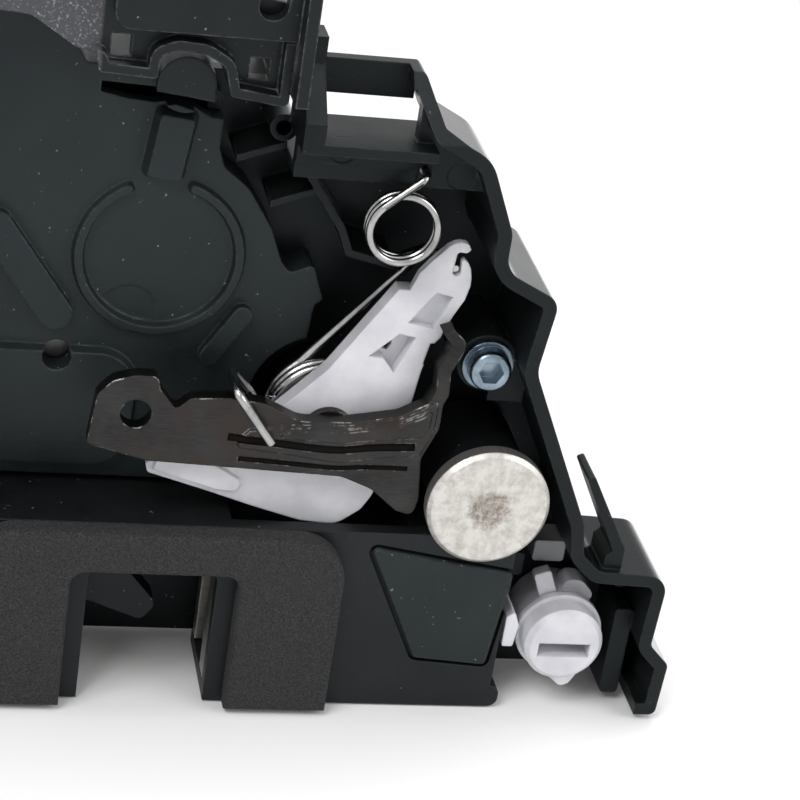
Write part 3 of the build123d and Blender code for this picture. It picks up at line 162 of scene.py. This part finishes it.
# plastics, one row for each finish
plasticLooks = {
    "caseBlack": {
        "dark": (0.0035, 0.0045, 0.0048), "pale": (0.008, 0.0095, 0.01), "rough": (0.3, 0.46),
        "grain": 0.3, "shine": 0.18, "edge": 0.00035, "wornAndHighlight": 0.06, "polish": 0.9},
    "housingBlack": {
        "dark": (0.005, 0.0055, 0.006), "pale": (0.011, 0.0118, 0.0122), "rough": (0.36, 0.52),
        "grain": 0.45, "shine": 0.24, "edge": 0.0003, "wornAndHighlight": 0.05},
    "lidBlack": {
        "dark": (0.006, 0.0085, 0.009), "pale": (0.0135, 0.0175, 0.0182), "rough": (0.38, 0.54),
        "grain": 0.5, "shine": 0.27, "edge": 0.0004, "wornAndHighlight": 0.1},
    "trayBlack": {
        "dark": (0.004, 0.005, 0.0055), "pale": (0.009, 0.0105, 0.011), "rough": (0.3, 0.46),
        "grain": 0.35, "shine": 0.24, "edge": 0.00035, "wornAndHighlight": 0.32, "polish": 0.3, "frostedFrom": -0.0118},
    "catchBlack": {
        "dark": (0.004, 0.004, 0.004), "pale": (0.01, 0.01, 0.0105), "rough": (0.3, 0.5),
        "grain": 0.3, "shine": 0.25, "edge": 0.0003, "wornAndHighlight": 0.1},
    "innerGrey": {
        "dark": (0.17, 0.17, 0.18), "pale": (0.26, 0.26, 0.27), "rough": (0.4, 0.55),
        "grain": 0.3, "shine": 0.4, "edge": 0.0003, "wornAndHighlight": 0.05},
    "linkPlastic": {
        "dark": (0.2, 0.2, 0.21), "pale": (0.3, 0.3, 0.31), "rough": (0.36, 0.5),
        "grain": 0.3, "shine": 0.45, "edge": 0.0003, "wornAndHighlight": 0.05, "whiteFront": 0.0075},
    "stopRubber": {
        "dark": (0.010, 0.010, 0.010), "pale": (0.03, 0.03, 0.03), "rough": (0.6, 0.8),
        "grain": 0.3, "shine": 0.3, "edge": 0.0003, "wornAndHighlight": 0.0},
}
plasticPattern = {
    "cloud": (70.0, 4.0, 0.6), "cloudSpread": (0.3, 0.7),
    "grain": (2600.0, 2.0, 0.5), "grainHeight": 0.00005,
    "dust": (1500.0, 2.0, 0.5), "dustShift": (0.3, 0.1, 0.2), "dustSpread": (0.73, 0.78), "dustAmount": 0.4,
    "dustTone": (0.4, 0.4, 0.4),
    # scuff: pale edges that are partly real wear and partly a painted edge highlight
    "scuffAndHighlight": (420.0, 5.0, 0.7), "scuffStretch": (1, 1, 5), "scuffSpread": (0.4, 0.65), "scuffAmount": 1.6,
    "scuffAndHighlightTone": (0.45, 0.45, 0.46),
    "tint": (0.84, 0.95, 1.0),
    "polishSpread": (0.25, 0.6), "polishSmooths": 0.55, "polishRough": 0.12,
    # frost: its grey and pale tones are painted sheen and painted glints on the coarse grain
    "frost": (3200.0, 4.0, 0.75), "frostSpread": (0.55, 0.75), "frostAmount": 0.5, "frostBlur": 0.0004,
    "frostSheenDark": (0.06, 0.06, 0.065), "frostGlintPale": (0.75, 0.75, 0.77),
    "whiteTone": (0.66, 0.66, 0.7), "whiteBlur": 0.0002,
}
edgeWearAndHighlightSpread = (0.25, 0.8)


def edgeWearAndHighlight(tree, normal, amount):
    # where the rounded normal leaves the true one, edges are painted pale: partly real rubbing, partly a painted
    # edge highlight
    flat = tree.nodes.new("ShaderNodeNewGeometry").outputs["True Normal"]
    apart = addNode(tree, "ShaderNodeVectorMath", {0: normal, 1: flat}, operation="SUBTRACT").outputs[0]
    return times(tree, span(tree, lengthOf(tree, apart), 0.0, 1.0, *edgeWearAndHighlightSpread), amount)


def dustSpecks(tree, place, pattern):
    specks = noise(tree, mapped(tree, place, location=pattern["dustShift"]), *pattern["dust"])
    node = addNode(tree, "ShaderNodeValToRGB", {"Fac": specks})
    node.color_ramp.elements.new(0.5)
    for element, start, tone in zip(node.color_ramp.elements, (0.0, *pattern["dustSpread"]), (0, 0, 1)):
        element.position = start
        element.color = (tone, tone, tone, 1)
    return times(tree, node.outputs["Color"], pattern["dustAmount"])


def plasticMaterial(name, looks):
    material, tree, shader, place = newMaterial(name)
    pattern = plasticPattern
    cloud = noise(tree, place, *pattern["cloud"])
    colour = mixColour(tree, span(tree, cloud, 0.0, 1.0, *pattern["cloudSpread"]), looks["dark"], looks["pale"])
    colour = mixColour(tree, dustSpecks(tree, place, pattern), colour, pattern["dustTone"])
    rounded = softEdges(tree, looks["edge"])
    scuffAndHighlight = noise(tree, mapped(tree, place, scale=pattern["scuffStretch"]), *pattern["scuffAndHighlight"])
    patchy = span(tree, scuffAndHighlight, 0.0, pattern["scuffAmount"], *pattern["scuffSpread"])
    # rubbed edges painted pale: real wear and painted edge highlight together
    rubAndHighlight = times(tree, edgeWearAndHighlight(tree, rounded, looks["wornAndHighlight"]), patchy)
    colour = mixColour(tree, rubAndHighlight, colour, pattern["scuffAndHighlightTone"])
    rough = span(tree, cloud, *looks["rough"], *pattern["cloudSpread"])
    if "polish" in looks:
        # walls that look to the right come off the polished side of the mould
        facing = along(tree, tree.nodes["Texture Coordinate"].outputs["Normal"], "X")
        side = span(tree, facing, 0.0, looks["polish"], *pattern["polishSpread"])
        rough = times(tree, rough, calc(tree, "SUBTRACT", 1.0, times(tree, side, pattern["polishSmooths"])))
        plug(tree, shader.inputs["Coat Weight"], side)
        shader.inputs["Coat Roughness"].default_value = pattern["polishRough"]
    if "frostedFrom" in looks:
        # the left half of the top cover is coarse grained; the light its grain catches is painted in, a grey
        # painted sheen with pale painted glints
        start = looks["frostedFrom"]
        zone = span(tree, along(tree, place, "X"), 1.0, 0.0, start - pattern["frostBlur"], start)
        frost = noise(tree, place, *pattern["frost"])
        glint = span(tree, frost, 0.0, pattern["frostAmount"], *pattern["frostSpread"])
        colour = mixColour(tree, zone, colour, mixColour(tree, glint, pattern["frostSheenDark"], pattern["frostGlintPale"]))
    if "whiteFront" in looks:
        # the end that looks out of the case is white
        start = looks["whiteFront"]
        zone = span(tree, along(tree, place, "Y"), 1.0, 0.0, start, start + pattern["whiteBlur"])
        colour = mixColour(tree, zone, colour, pattern["whiteTone"])
    plug(tree, shader.inputs["Base Color"], colour)
    plug(tree, shader.inputs["Roughness"], rough)
    shader.inputs["Specular IOR Level"].default_value = looks["shine"]
    shader.inputs["Specular Tint"].default_value = (*pattern["tint"], 1)
    bumped(tree, shader, noise(tree, place, *pattern["grain"]), looks["grain"], pattern["grainHeight"], rounded)
    return material


# moulded white of the levers and wheels, slightly see-through
whiteLooks = {
    "shade": (0.5, 0.5, 0.54), "light": (0.68, 0.68, 0.71), "rough": (0.3, 0.44),
    "cloud": (160.0, 4.0, 0.55), "cloudSpread": (0.3, 0.7),
    "fine": (1800.0, 2.0, 0.5), "fineStrength": 0.12, "fineHeight": 0.00004, "edge": 0.0003,
    "depthWeight": 0.25, "depthRadius": (0.8, 0.8, 0.8), "depthScale": 0.0012,
}


def whiteMaterial(name, looks):
    material, tree, shader, place = newMaterial(name)
    cloud = noise(tree, place, *looks["cloud"])
    colour = mixColour(tree, span(tree, cloud, 0.0, 1.0, *looks["cloudSpread"]), looks["shade"], looks["light"])
    plug(tree, shader.inputs["Base Color"], colour)
    plug(tree, shader.inputs["Roughness"], span(tree, cloud, *looks["rough"], *looks["cloudSpread"]))
    shader.inputs["Subsurface Weight"].default_value = looks["depthWeight"]
    shader.inputs["Subsurface Radius"].default_value = looks["depthRadius"]
    shader.inputs["Subsurface Scale"].default_value = looks["depthScale"]
    fine = noise(tree, place, *looks["fine"])
    bumped(tree, shader, fine, looks["fineStrength"], looks["fineHeight"], softEdges(tree, looks["edge"]))
    return material


# metals, one row for each finish
metalLooks = {
    "leverSteel": {
        "dark": (0.02, 0.02, 0.02), "pale": (0.052, 0.0515, 0.051), "rough": (0.28, 0.48),
        "stretch": (1, 1, 14), "edge": 0.0003, "chipAndHighlight": 0.7, "rust": (0.042, 0.034, 0.031)},
    # near black: painted shade for the inside of the lever's grooves
    "shadedGrooveSteel": {
        "dark": (0.004, 0.004, 0.004), "pale": (0.013, 0.012, 0.011), "rough": (0.5, 0.7),
        "stretch": (1, 1, 14), "edge": 0.0002, "chipAndHighlight": 0.0},
    "plateZinc": {
        "dark": (0.30, 0.29, 0.26), "pale": (0.55, 0.54, 0.50), "rough": (0.3, 0.45),
        "stretch": (1, 1, 10), "edge": 0.0002, "chipAndHighlight": 0.0},
    "wireSteel": {
        "dark": (0.22, 0.22, 0.22), "pale": (0.5, 0.5, 0.49), "rough": (0.12, 0.24),
        "stretch": (1, 1, 1), "edge": 0.0002, "chipAndHighlight": 0.0},
    "screwZinc": {
        "dark": (0.07, 0.1, 0.13), "pale": (0.29, 0.36, 0.42), "rough": (0.2, 0.34),
        "stretch": (1, 1, 1), "edge": 0.0002, "chipAndHighlight": 0.0},
    # motor can: darkened as painted shade, for it sits deep inside the case
    "shadedCanSteel": {
        "dark": (0.06, 0.06, 0.06), "pale": (0.13, 0.13, 0.128), "rough": (0.26, 0.4),
        "stretch": (8, 1, 1), "edge": 0.0002, "chipAndHighlight": 0.0},
    "wormBrass": {
        "dark": (0.45, 0.32, 0.13), "pale": (0.68, 0.50, 0.22), "rough": (0.22, 0.38),
        "stretch": (1, 1, 1), "edge": 0.0002, "chipAndHighlight": 0.0},
    "pinTin": {
        "dark": (0.5, 0.48, 0.42), "pale": (0.74, 0.71, 0.62), "rough": (0.2, 0.34),
        "stretch": (8, 1, 1), "edge": 0.0002, "chipAndHighlight": 0.0},
}
metalPattern = {
    "stains": (120.0, 5.0, 0.6), "stainShare": 0.65, "streaks": (700.0, 3.0, 0.55), "streakShare": 0.35,
    "spread": (0.35, 0.65), "streakStrength": 0.18, "streakHeight": 0.00004,
    # chips: pale bare edges that are partly real wear and partly a painted edge highlight
    "chipsAndHighlights": (520.0, 4.0, 0.7), "chipSpread": (0.53, 0.6), "bareAndHighlightTone": (0.62, 0.60, 0.58),
    "rust": (90.0, 5.0, 0.65), "rustShift": (0.02, 0.4, 0.1), "rustSpread": (0.46, 0.62), "rustAmount": 0.85,
}


def metalMaterial(name, looks):
    material, tree, shader, place = newMaterial(name)
    pattern = metalPattern
    stains = noise(tree, place, *pattern["stains"])
    streaks = noise(tree, mapped(tree, place, scale=looks["stretch"]), *pattern["streaks"])
    blend = plus(tree, times(tree, stains, pattern["stainShare"]), times(tree, streaks, pattern["streakShare"]))
    colour = mixColour(tree, span(tree, blend, 0.0, 1.0, *pattern["spread"]), looks["dark"], looks["pale"])
    if "rust" in looks:
        patch = noise(tree, mapped(tree, place, location=pattern["rustShift"]), *pattern["rust"])
        rusty = span(tree, patch, 0.0, pattern["rustAmount"], *pattern["rustSpread"])
        colour = mixColour(tree, rusty, colour, looks["rust"])
    rounded = softEdges(tree, looks["edge"])
    chipsAndHighlights = span(tree, noise(tree, place, *pattern["chipsAndHighlights"]), 0.0, 1.0, *pattern["chipSpread"])
    # bare edges painted pale: real wear and painted edge highlight together
    bareAndHighlight = times(tree, edgeWearAndHighlight(tree, rounded, looks["chipAndHighlight"]), chipsAndHighlights)
    colour = mixColour(tree, bareAndHighlight, colour, pattern["bareAndHighlightTone"])
    plug(tree, shader.inputs["Base Color"], colour)
    plug(tree, shader.inputs["Roughness"], span(tree, blend, *looks["rough"], *pattern["spread"]))
    shader.inputs["Metallic"].default_value = 1.0
    bumped(tree, shader, streaks, pattern["streakStrength"], pattern["streakHeight"], rounded)
    return material


# head of the post: cream and worn, with a rough brownish middle and a bright turned rim
discLooks = {
    "centre": (0.0385, 0.0, 0.0158), "dark": (0.41, 0.39, 0.36), "pale": (0.61, 0.59, 0.555),
    "wobble": (400.0, 4.0, 0.6), "wobbleShare": 0.4, "blot": (900.0, 6.0, 0.68), "blotShare": 0.7,
    "toneSpread": (0.42, 0.62), "rough": (0.5, 0.32), "roughSpread": (0.4, 0.7),
    "core": 0.0025, "coreBlur": (0.8, 1.15), "coreRagged": 0.0022, "coreTone": (0.19, 0.155, 0.125),
    "pits": (1500.0, 5.0, 0.7), "pitSpread": (0.4, 0.6), "pitTone": (0.35, 1.0), "pitOutside": 0.3,
    "rimFrom": 0.0066, "rimBlur": 0.0002, "metal": (0.1, 0.95), "ring": 5200.0, "ringHeight": 0.2,
    "bump": 0.5, "bumpHeight": 0.00008, "edge": 0.0003,
}


def discMaterial(name, looks):
    material, tree, shader, place = newMaterial(name)
    local = mapped(tree, place, location=tuple(-Vector(looks["centre"])))
    flat = flattened(tree, local, (1, 0, 1))
    radius = lengthOf(tree, flat)
    wobble = noise(tree, flat, *looks["wobble"])
    blot = noise(tree, flat, *looks["blot"])
    pits = noise(tree, flat, *looks["pits"])
    ragged = plus(tree, radius, times(tree, calc(tree, "SUBTRACT", blot, 0.5), looks["coreRagged"]))
    inner, outer = (looks["core"] * share for share in looks["coreBlur"])
    core = calc(tree, "SUBTRACT", 1.0, span(tree, ragged, 0.0, 1.0, inner, outer))
    tone = plus(tree, times(tree, blot, looks["blotShare"]), times(tree, wobble, looks["wobbleShare"]))
    colour = mixColour(tree, span(tree, tone, 0.0, 1.0, *looks["toneSpread"]), looks["dark"], looks["pale"])
    grit = times(tree, core, span(tree, pits, *looks["pitTone"], *looks["pitSpread"]))
    colour = mixColour(tree, grit, colour, looks["coreTone"])
    rim = span(tree, radius, 0.0, 1.0, looks["rimFrom"], looks["rimFrom"] + looks["rimBlur"])
    plug(tree, shader.inputs["Base Color"], colour)
    plug(tree, shader.inputs["Roughness"], span(tree, tone, *looks["rough"], *looks["roughSpread"]))
    plug(tree, shader.inputs["Metallic"], span(tree, rim, *looks["metal"]))
    turned = times(tree, calc(tree, "SINE", times(tree, radius, looks["ring"])), looks["ringHeight"])
    height = plus(tree, turned, times(tree, pits, plus(tree, core, looks["pitOutside"])))
    bumped(tree, shader, height, looks["bump"], looks["bumpHeight"], softEdges(tree, looks["edge"]))
    return material


foamLooks = {
    "dark": (0.006, 0.006, 0.006), "pale": (0.046, 0.046, 0.047), "cell": 5200.0, "cellShare": 0.5,
    "coarse": (2600.0, 5.0, 0.7), "coarseShare": 0.6, "toneSpread": (0.3, 0.75), "rough": (0.8, 0.97),
    "shine": 0.25, "bump": 0.9, "bumpHeight": 0.00028,
}


def foamMaterial(name, looks):
    material, tree, shader, place = newMaterial(name)
    cells = addNode(tree, "ShaderNodeTexVoronoi", {"Vector": place, "Scale": looks["cell"]}).outputs["Distance"]
    coarse = noise(tree, place, *looks["coarse"])
    tone = plus(tree, times(tree, cells, looks["cellShare"]), times(tree, coarse, looks["coarseShare"]))
    colour = mixColour(tree, span(tree, tone, 0.0, 1.0, *looks["toneSpread"]), looks["dark"], looks["pale"])
    plug(tree, shader.inputs["Base Color"], colour)
    plug(tree, shader.inputs["Roughness"], span(tree, coarse, *looks["rough"]))
    shader.inputs["Specular IOR Level"].default_value = looks["shine"]
    bumped(tree, shader, tone, looks["bump"], looks["bumpHeight"])
    return material


finishes = {name: plasticMaterial(name, looks) for name, looks in plasticLooks.items()}
finishes.update({name: metalMaterial(name, looks) for name, looks in metalLooks.items()})
finishes["milkWhite"] = whiteMaterial("milkWhite", whiteLooks)
finishes["turnedDisc"] = discMaterial("turnedDisc", discLooks)
finishes["sealFoam"] = foamMaterial("sealFoam", foamLooks)
print("stage: finishes made,", len(finishes))

# the nodes that stay; foam seal, both levers and the four springs get pieces of their own below
nodeFinish = {
    "caseBlack": ["case", "rear_cover", "lock_switch", "latch_switch"],
    "housingBlack": ["latch_housing"],
    "lidBlack": ["latch_cover", "actuator_cover"],
    "trayBlack": ["upper_cover", "top_bracket"],
    "catchBlack": ["catch"],
    "innerGrey": ["key_stop"],
    "linkPlastic": ["lock_link"],
    "stopRubber": ["catch_buffer"],
    "milkWhite": ["key_coupling", "trip_rod", "worm_wheel", "lock_slide"],
    "leverSteel": ["lever_pin", "wheel_pin"],
    "plateZinc": ["mount_plate", "back_plate", "pawl"],
    "wireSteel": ["catch_pin", "pawl_pin"],
    "screwZinc": ["case_screw", "cover_screws"],
    "shadedCanSteel": ["motor"],
    "wormBrass": ["motor_worm"],
    "pinTin": ["connector_pins"],
    "turnedDisc": ["support_post"],
}
for finish, names in nodeFinish.items():
    for name in names:
        data = nodes[name].data
        data.materials.clear()
        data.materials.append(finishes[finish])
print("stage: finishes on the nodes")


# a flat outline in x and z, pushed through in y
def slab(outline, fromY, toY):
    mesh = bmesh.new()
    face = mesh.faces.new([mesh.verts.new((x * mm, fromY * mm, z * mm)) for x, z in outline])
    pushed = bmesh.ops.extrude_face_region(mesh, geom=[face])
    moved = [item for item in pushed["geom"] if isinstance(item, bmesh.types.BMVert)]
    bmesh.ops.translate(mesh, verts=moved, vec=(0, (toY - fromY) * mm, 0))
    bmesh.ops.recalc_face_normals(mesh, faces=mesh.faces)
    return mesh


# foam seal round the mouth, with a soft front edge
foamShape = {
    "half": 22.6, "leg": 12.6, "top": 10.4, "bottom": -13.8, "crown": 5.4, "front": -3.0, "back": -0.3,
    "corner": 6.0, "cornerSteps": 12, "inner": 1.8, "innerSteps": 6, "round": 0.7, "roundSteps": 3,
}


def roundedCorner(centreX, centreZ, radius, fromAngle, toAngle, steps):
    points = []
    for step in range(steps + 1):
        angle = math.radians(fromAngle + (toAngle - fromAngle) * step / steps)
        points.append((centreX + radius * math.cos(angle), centreZ + radius * math.sin(angle)))
    return points


def makeFoam(shape):
    half, leg, top, bottom = shape["half"], shape["leg"], shape["top"], shape["bottom"]
    big, small = shape["corner"], shape["inner"]
    under = top - shape["crown"]
    outline = [(-half, bottom), (-half, top - big)]
    outline += roundedCorner(-half + big, top - big, big, 180, 90, shape["cornerSteps"])[1:]
    outline += roundedCorner(half - big, top - big, big, 90, 0, shape["cornerSteps"])
    outline += [(half, bottom), (half - leg, bottom)]
    outline += roundedCorner(half - leg - small, under - small, small, 0, 90, shape["innerSteps"])
    outline += roundedCorner(leg - half + small, under - small, small, 90, 180, shape["innerSteps"])
    outline += [(leg - half, bottom)]
    mesh = slab(outline, shape["back"], shape["front"])
    front = shape["front"] * mm
    rim = [edge for edge in mesh.edges if all(abs(v.co.y - front) < sameSpot for v in edge.verts)]
    bmesh.ops.bevel(mesh, geom=rim, offset=shape["round"] * mm, segments=shape["roundSteps"], profile=0.5,
                    affect="EDGES", material=-1, clamp_overlap=True)
    bmesh.ops.triangulate(mesh, faces=[face for face in mesh.faces if len(face.verts) > 4])
    piece = addObject("foamRing", meshFrom("foamRing", mesh))
    piece.data.materials.append(finishes["sealFoam"])
    return piece


foamRing = makeFoam(foamShape)
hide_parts("foam_seal")
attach(foamRing, "case_body")
print("stage: foam seal")

sharpFrom = math.radians(35)  # edges that fold less than this are shaded round


def smoothPiece(data):
    mesh = bmesh.new()
    mesh.from_mesh(data)
    bmesh.ops.remove_doubles(mesh, verts=mesh.verts, dist=sameSpot)
    for face in mesh.faces:
        face.smooth = True
    for edge in mesh.edges:
        edge.smooth = edge.calc_face_angle(0.0) < sharpFrom
    mesh.to_mesh(data)
    mesh.free()


# a node's own shape as a new piece, merged, with only its real edges sharp
def copyNode(name, node, finishNames):
    data = nodes[node].data.copy()
    data.name = name
    smoothPiece(data)
    data.materials.clear()
    for finish in finishNames:
        data.materials.append(finishes[finish])
    return addObject(name, data)


def cutWith(piece, tools):
    for tool in tools:
        cut = piece.modifiers.new(tool.name, "BOOLEAN")
        cut.operation = "DIFFERENCE"
        cut.solver = "EXACT"
        cut.object = tool
    graph = bpy.context.evaluated_depsgraph_get()
    data = bpy.data.meshes.new_from_object(piece.evaluated_get(graph))
    piece.modifiers.clear()
    piece.data = data
    smoothPiece(data)
    for tool in tools:
        bpy.data.objects.remove(tool)


# steel lever: its two pressed grooves are cut with a round bar along each path, and their cut faces take a
# near-black finish as painted shade
leverFinishes = ["leverSteel", "shadedGrooveSteel"]
leverGrooves = {
    "upperGroove": {"radius": 0.52, "path": [
        (6.6, -0.6, 22.7), (9.0, -0.85, 22.55), (12.6, -0.95, 22.3), (19.6, -0.95, 21.6), (23.5, -0.95, 22.4),
        (28.8, -0.9, 22.6)]},
    "lowerGroove": {"radius": 0.32, "path": [
        (8.1, -0.5, 19.9), (13.9, -0.55, 19.6), (20.0, -0.55, 19.1), (23.4, -0.55, 19.6), (28.4, -0.55, 19.5)]},
}


def grooveTool(name, looks):
    curve = bpy.data.curves.new(name, "CURVE")
    curve.dimensions = "3D"
    curve.bevel_depth = looks["radius"] * mm
    curve.bevel_resolution = 4
    curve.use_fill_caps = True
    line = curve.splines.new("NURBS")
    line.points.add(len(looks["path"]) - 1)
    for point, place in zip(line.points, looks["path"]):
        point.co = (*(Vector(place) * mm), 1.0)
    line.order_u = 3
    line.use_endpoint_u = True
    bar = addObject(name, curve)
    graph = bpy.context.evaluated_depsgraph_get()
    data = bpy.data.meshes.new_from_object(bar.evaluated_get(graph))
    bpy.data.objects.remove(bar)
    data.materials.clear()
    for finish in leverFinishes:
        data.materials.append(finishes[finish])
    # the groove faces are near black: painted shade inside the grooves
    for face in data.polygons:
        face.material_index = leverFinishes.index("shadedGrooveSteel")  # the cut faces keep it
    return addObject(name, data)


grooveLever = copyNode("grooveLever", "outer_lever", leverFinishes)
cutWith(grooveLever, [grooveTool(name, looks) for name, looks in leverGrooves.items()])
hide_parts("outer_lever")
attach(grooveLever, "outer_body")
print("stage: steel lever,", len(grooveLever.data.polygons), "faces")


# white lever: its pockets are filled, then the blocks below are cut out of it
pocketFloor = 4.0
leverCuts = {
    # everything outside the hook, right through
    "hookOutside": {"depth": (2.0, 5.6), "outline": [
        (23.0, 41.25), (26.05, 41.25), (26.82, 43.4), (28.14, 45.16), (29.8, 47.0), (30.5, 47.42),
        (31.1, 47.58), (31.8, 47.5), (32.25, 47.25), (32.42, 46.95), (32.3, 46.6), (31.9, 46.3),
        (31.05, 46.2), (31.05, 45.6), (31.5, 45.3), (31.85, 45.5), (32.35, 45.1), (32.75, 44.4),
        (33.0, 43.2), (33.05, 42.0), (36.0, 42.0), (36.0, 50.0), (23.0, 50.0)]},
    # the back of the tip, which is thinner than the arm
    "tipBack": {"depth": (3.7, 5.6), "outline": [(23.0, 41.2), (36.0, 41.2), (36.0, 50.0), (23.0, 50.0)]},
    "rightEdge": {"depth": (2.0, 5.6), "outline": [
        (33.06, 42.3), (32.65, 40.4), (31.65, 38.4), (30.8, 36.4), (30.35, 34.65), (29.45, 34.6),
        (28.95, 31.8), (30.0, 31.8), (36.0, 36.0), (36.0, 42.3)]},
    "lowerHole": {"depth": (3.9, 5.6), "outline": [
        (23.9, 32.9), (23.9, 33.6), (25.0, 34.6), (25.3, 33.5), (24.8, 32.6)]},
    "upperPocket": {"depth": (2.0, 3.7), "outline": [(29.3, 41.1), (31.2, 40.65), (29.5, 36.5), (26.4, 37.05)]},
    "lowerPocket": {"depth": (2.0, 4.4), "outline": [
        (25.65, 35.6), (27.7, 35.2), (25.65, 30.5), (24.2, 32.3), (22.4, 32.5)]},
}


def fillPockets(data, floor):
    mesh = bmesh.new()
    mesh.from_mesh(data)
    inside = [face for face in mesh.faces if any(abs(v.co.y - floor * mm) < sameSpot for v in face.verts)]
    bmesh.ops.delete(mesh, geom=inside, context="FACES")
    bmesh.ops.holes_fill(mesh, edges=[edge for edge in mesh.edges if edge.is_boundary])
    bmesh.ops.recalc_face_normals(mesh, faces=mesh.faces)
    mesh.to_mesh(data)
    mesh.free()


hookLever = copyNode("hookLever", "release_lever", ["milkWhite"])
fillPockets(hookLever.data, pocketFloor)
cutWith(hookLever, [addObject(name, meshFrom(name, slab(cut["outline"], *cut["depth"])))
                    for name, cut in leverCuts.items()])
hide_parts("release_lever")
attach(hookLever, "release_body")
print("stage: white lever,", len(hookLever.data.polygons), "faces")


# spring wires: each is a merged copy of its node, which is hidden
springWires = {
    "leverWire": {
        "node": "lever_spring", "moves": "release_body", "start": (10.5, 0, 24.5), "end": (15.0, 0, 29.0)},
    "returnWire": {
        "node": "return_spring", "moves": "release_body", "start": (24.9, 0, 52.0), "end": (30.6, 0, 43.4)},
    "catchWire": {
        "node": "catch_spring", "moves": "catch_body", "start": (-12.5, 0, -2.9), "end": (-12.5, 0, 5.2)},
    "pawlWire": {
        "node": "pawl_spring", "moves": "pawl_body", "start": (-24.5, 0, -11.5), "end": (-30.5, 0, -6.0)},
}
for name, looks in springWires.items():
    piece = copyNode(name, looks["node"], ["wireSteel"])
    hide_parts(looks["node"])
    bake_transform(piece)
print("stage: spring wires")


# floor, which goes over into the white of the background away from the part
floorLooks = {
    "gap": 0.0003, "size": 3.0, "white": (0.9, 0.9, 0.9), "rough": 0.9, "fade": (0.16, 0.34),
}


def floorMaterial(name, looks):
    material, tree, shader, place = newMaterial(name)
    plug(tree, shader.inputs["Base Color"], looks["white"])
    shader.inputs["Roughness"].default_value = looks["rough"]
    fade = span(tree, lengthOf(tree, flattened(tree, place, (1, 1, 0))), 0.0, 1.0, *looks["fade"])
    rays = tree.nodes.new("ShaderNodeLightPath").outputs
    glow = tree.nodes.new("ShaderNodeEmission").outputs[0]
    blend = addNode(tree, "ShaderNodeMixShader", {
        0: times(tree, fade, rays["Is Camera Ray"]), 1: shader.outputs[0], 2: glow,
    })
    plug(tree, tree.nodes["Material Output"].inputs["Surface"], blend.outputs[0])
    return material


floorMesh = bmesh.new()
bmesh.ops.create_grid(floorMesh, x_segments=1, y_segments=1, size=floorLooks["size"] / 2)
bmesh.ops.translate(floorMesh, verts=floorMesh.verts, vec=(0, 0, cadBox[0][2] - floorLooks["gap"]))
floor = addObject("floor", meshFrom("floor", floorMesh))
floor.data.materials.append(floorMaterial("floorWhite", floorLooks))

# world: full white where it is seen, mirrored or seen through, dimmer as a light
worldLooks = {"lighting": 0.45, "seen": 1.0}
world = bpy.data.worlds.new("studio")
scene.world = world
world.use_nodes = True
background = world.node_tree.nodes["Background"]
rays = world.node_tree.nodes.new("ShaderNodeLightPath").outputs
seen = calc(world.node_tree, "MAXIMUM", rays["Is Camera Ray"], rays["Is Glossy Ray"])
seen = calc(world.node_tree, "MAXIMUM", seen, rays["Is Transmission Ray"])
plug(world.node_tree, background.inputs["Color"], (1, 1, 1))
plug(world.node_tree, background.inputs["Strength"],
     span(world.node_tree, seen, worldLooks["lighting"], worldLooks["seen"]))

# lamps, all turned to the same point
lampAim = Vector((0.0, 0.0, 0.03))
lamps = {
    "keyLamp": {"place": (-0.35, -0.35, 0.6), "size": 0.35, "power": 3.2},
    "fillLamp": {"place": (0.55, -0.35, 0.35), "size": 0.4, "power": 2.0},
    "topLamp": {"place": (0.05, 0.15, 0.7), "size": 0.4, "power": 2.8},
}
for name, lamp in lamps.items():
    light = bpy.data.lights.new(name, "AREA")
    light.size = lamp["size"]
    light.energy = lamp["power"]
    item = addObject(name, light)
    item.location = lamp["place"]
    item.rotation_euler = (lampAim - item.location).to_track_quat("-Z", "Y").to_euler()

# camera: its place in mm, and which way its own right and down point
view = {
    "place": (-38.55, -252.71, 157.96), "right": (0.974, -0.175, 0.146), "down": (0.049, -0.466, -0.884),
    "lens": 112.5, "sensor": 36.0, "nearest": 0.01,
}
right = Vector(view["right"]).normalized()
up = -Vector(view["down"])
up = (up - right * up.dot(right)).normalized()
turn = Matrix((right, up, right.cross(up))).transposed().to_4x4()
cameraData = bpy.data.cameras.new("camera")
cameraData.lens = view["lens"]
cameraData.sensor_width = view["sensor"]
cameraData.clip_start = view["nearest"]
camera = addObject("camera", cameraData)
camera.matrix_world = Matrix.Translation(Vector(view["place"]) * mm) @ turn
scene.camera = camera
scene.view_settings.view_transform = "Standard"
print("stage: floor, light and camera")
